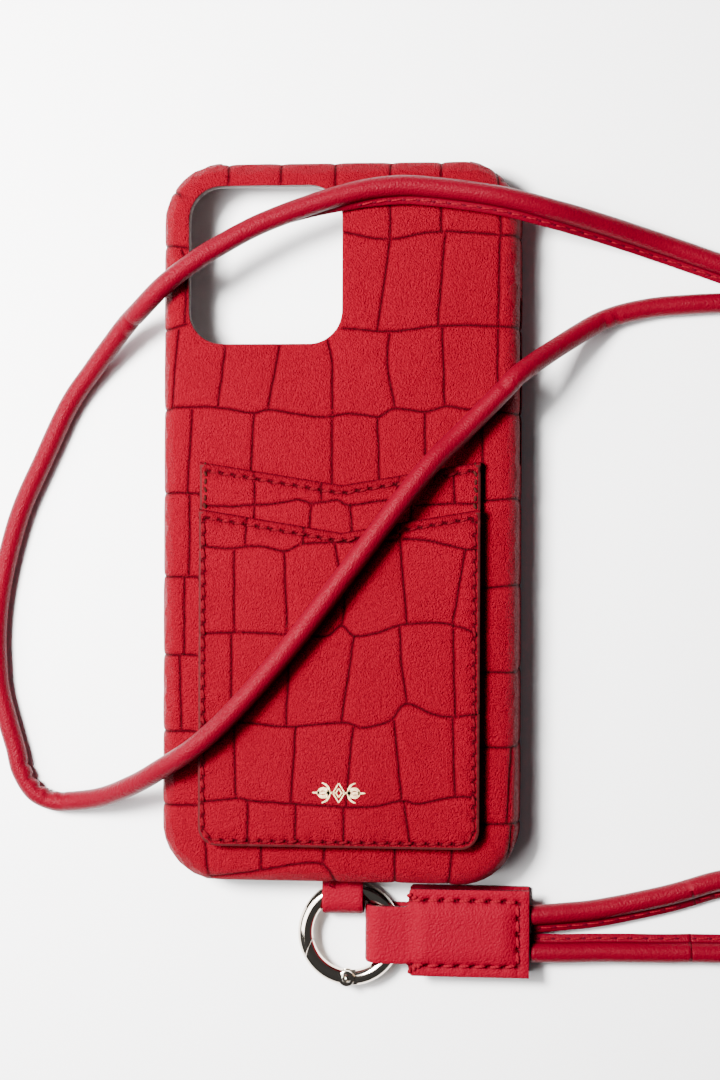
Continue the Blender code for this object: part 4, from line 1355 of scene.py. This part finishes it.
CORD_SIDES = 24
CORE_RADIUS = 2.12
FLANGE_REACH = 3.8
FLANGE_HALF = 0.5
CORD_PITCH = 3.25
FOLD_DEPTH = 0.8
FOLD_PITCH = 3.4
MOSTLY_SHOWN = 0.8
# How far on, how far past the core and how high a thread passes, from one needle hole to the next.
CORD_STITCH = ((0.1, 0.42, -0.25), (0.2, 0.5, 0.05), (0.5, 0.58, 0.1), (0.8, 0.66, 0.05), (0.9, 0.74, -0.25))
# A needle hole's painted shade, a thin dark lens flush with the flange: its half width and half height along
# it.
NEEDLE_HOLE_SHADE = ((-0.45, 0.1, 0.02), (-0.2, 0.26, 0.06), (0.2, 0.26, 0.06), (0.45, 0.1, 0.02))


def flange_shown(turn):
    """How far the flange stands out: it is tucked under the core where it points down."""
    return min(max((math.sin(turn) + 0.93) / 0.45, 0.0), 1.0)


def cord_section(turn, reach):
    """A round core with a flat stitched flange on one side, turned by turn radians."""
    out = (FLANGE_REACH - CORE_RADIUS) * flange_shown(turn)
    ring = [(reach + 0.05 + out, FLANGE_HALF * 0.6), (reach + out * 0.93, FLANGE_HALF * 0.95),
            (reach + out * 0.45, FLANGE_HALF), (reach + out * 0.15, FLANGE_HALF),
            (reach * 0.985, FLANGE_HALF * 1.15)]
    first = math.asin(0.3)
    for k in range(CORD_SIDES - 1):
        angle = first + 0.1 + (TURN - 2 * first - 0.2) * k / (CORD_SIDES - 2)
        ring.append((reach * math.cos(angle), reach * math.sin(angle)))
    ring += [(x, -y) for x, y in reversed(ring[:5])]
    c, s = math.cos(turn), math.sin(turn)
    return [(x * c - y * s, x * s + y * c) for x, y in ring]


def cord_stitches(points, angles):
    """Threads along the flange, and dark lenses that paint the shade of its needle holes, on whichever of its
    faces is turned up.
    """
    lengths = run_lengths(points)
    side, up = route_frame(points)
    marks = np.arange(1.6, lengths[-1] - 1.6, CORD_PITCH)

    def turn_at(where):
        return math.radians(np.interp(where, lengths, angles))

    def spot(where, across, height):
        place, s, u = (pick(where, lengths, rows) for rows in (points, side, up))
        turn = turn_at(where)
        face = -s * math.sin(turn) + u * math.cos(turn)
        out = s * math.cos(turn) + u * math.sin(turn)
        if face[2] < 0:
            face = -face
        return place + out * (CORD_RADIUS + across) + face * (FLANGE_HALF + height)

    threads, holes = [], []
    for a, b in zip(marks, marks[1:]):
        if flange_shown(turn_at(b)) >= MOSTLY_SHOWN:
            line = [spot(a + (b - a) * share, across, height) for share, across, height in CORD_STITCH]
            threads.append(sweep(line, [ellipse(0.2, 0.15, 6)] * len(line)))
    for mark in marks:
        if flange_shown(turn_at(mark)) >= MOSTLY_SHOWN:
            line = [spot(mark + along, CORD_STITCH[2][1], 0.0) for along, _, _ in NEEDLE_HOLE_SHADE]
            holes.append(sweep(line, [ellipse(wide, high, 8) for _, wide, high in NEEDLE_HOLE_SHADE]))
    return threads, holes


def fold_inner_side(verts, points, step, chance_seed):
    """Presses short folds into the inner side of a cord's tight bends."""
    curve = np.gradient(np.gradient(points, axis=0), axis=0)
    bend = np.clip(np.linalg.norm(curve, axis=1) / step ** 2, 0, 0.12)
    bend = np.convolve(bend, np.ones(9) / 9, mode="same")
    chance = np.random.default_rng(chance_seed)
    phase = np.cumsum(chance.uniform(0.6, 1.4, len(points))) * step * TURN / FOLD_PITCH
    fold = FOLD_DEPTH * np.maximum(0.0, np.sin(phase)) ** 2 * np.clip((bend - 0.035) / 0.03, 0, 1)
    pull = unit(curve)[:, None]
    rings = verts.reshape(len(points), -1, 3)
    reach = ((rings - points[:, None]) * pull).sum(axis=2, keepdims=True)
    rings -= pull * fold[:, None, None] * np.clip(reach / CORE_RADIUS, 0, 1)


def make_cord(name, node, route, turns, body, step=0.8, blend=None):
    points = smooth_route(route, step)
    angles = np.interp(np.linspace(0.0, 1.0, len(points)), *zip(*turns))
    swell = 0.03 * wrap_noise(points * 1.5, len(route))
    sections = [cord_section(math.radians(a), CORE_RADIUS + w) for a, w in zip(angles, swell)]
    verts, faces = sweep(points, sections)
    fold_inner_side(verts, points, step, len(route))
    painted_shade = np.zeros((len(points), len(sections[0])))
    # Painted shade in the crevice where the flange meets the core, wherever the flange shows.
    painted_shade[:, (4, 5, -5, -6)] = 0.45 * np.array([[flange_shown(math.radians(a))] for a in angles])
    threads, holes = cord_stitches(points, angles)
    sewn = sum(len(quads) for _, quads in threads)
    core = len(faces)
    verts, faces = joined([(verts, faces)] + threads + holes)
    verts[:, 2] = np.maximum(verts[:, 2], FLOOR_CLEARANCE)
    mesh = mesh_of(name, verts, faces, painted_shade=np.r_[painted_shade.ravel(), np.zeros(len(verts) - painted_shade.size)])
    slots = np.zeros(len(faces), np.int32)
    slots[core:] = 1
    # Slot 2, the dark edge paint, paints the shade inside the needle holes.
    slots[core + sewn:] = 2
    mesh.polygons.foreach_set("material_index", slots)
    for polygon in mesh.polygons:
        polygon.use_smooth = polygon.loop_total <= 4
    looks = ("strap_leather", "strap_thread", "dark_edge")
    cord = finish_piece(name, mesh, looks, body, (node,))
    if blend:
        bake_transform(cord)


def make_strap():
    """Each strand's turns give the flange's angle along it, from the right of the way of travel."""
    lead = ("connector", "ring", tuple(world((42.0, -87.0, 3.0))), tuple(world((72.0, -87.0, 2.3))))
    loop = ("ring", "case", tuple(world((75.0, -77.0, 2.3))), tuple(world((115.0, -45.0, 2.3))))
    make_cord("strap_main", "strap_cord", CORD_MAIN,
              [(0.0, 198), (0.15, 198), (0.19, 214), (0.23, 245), (0.28, 268), (0.34, 270), (0.5, 270),
               (0.6, 276), (0.75, 276), (0.88, 275), (1.0, 272)], "case")
    make_cord("strap_u_inner", "strap_loop_inner", LOOP_INNER, [(0, -18), (0.3, -40), (0.7, -70), (1, -70)],
              None, 1.6, loop)
    make_cord("strap_u_outer", "strap_loop_outer", LOOP_OUTER, [(0, 198), (0.4, 190), (1, 342)],
              None, 1.6, loop)
    make_cord("strap_lead_upper", "strap_end_upper", END_UPPER, [(0, -10), (1, -18)], None, 0.8, lead)
    make_cord("strap_lead_lower", "strap_end_lower", END_LOWER, [(0, 190), (1, 198)], None, 0.8, lead)


# ---- Everything ----

# Each look's function and values. Leather says its roughness, grain, grain scale and gloss.
LOOKS = {
    "strap_leather": (leather, STRAP_LIGHT, STRAP_DEEP, 0.3, 0.4, 2600.0, 1.18),
    "panel_leather": (leather, LEATHER_LIGHT, LEATHER_DEEP, 0.5, 1.3, GRAIN_SCALE, 1.19),
    "pocket_leather": (leather, LEATHER_LIGHT, LEATHER_DEEP, 0.5, 1.3, GRAIN_SCALE, 1.19),
    "smooth_leather": (leather, SMOOTH_LIGHT, SMOOTH_DEEP, 0.45, 0.6, 2300.0, 1.15),
    "painted_edge": (edge_paint, (0.045, 0.006, 0.007)),
    # The dark edge paint also paints the shade inside the strap's needle holes.
    "dark_edge": (edge_paint, (0.045, 0.001, 0.005)),
    "thread": (thread_look, (0.075, 0.002, 0.005)),
    "dark_thread": (thread_look, (0.03, 0.006, 0.005)),
    "strap_thread": (thread_look, (0.13, 0.003, 0.009)),
    "chrome": (metal_look, (0.68, 0.60, 0.51), 0.06),
    "foil": (foil_look,),
    "microfibre": (cloth_look, (0.13, 0.09, 0.085)),
    "shell": (plastic_look, (0.035, 0.022, 0.020)),
    "board": (board_look, (0.07, 0.008, 0.012)),
}
MATERIALS = {name: look(name, *values) for name, (look, *values) in LOOKS.items()}


def dress_cad():
    """The pieces still shown as in the CAD get their own looks."""
    for node, look in (("inner_shell", "shell"), ("gate_spring", "chrome"), ("spring_plunger", "chrome")):
        for piece in bpy.data.objects:
            if piece.name == node and piece.type == "MESH":
                piece.data.materials.clear()
                piece.data.materials.append(MATERIALS[look])


make_camera()
make_light()
make_floor()
make_strap()
make_skin()
make_pockets()
make_foil()
make_tab()
make_tab_patch()
make_loose_thread()
make_connector()
make_connector_thread()
make_filler()
make_lining()
make_ring()
dress_cad()
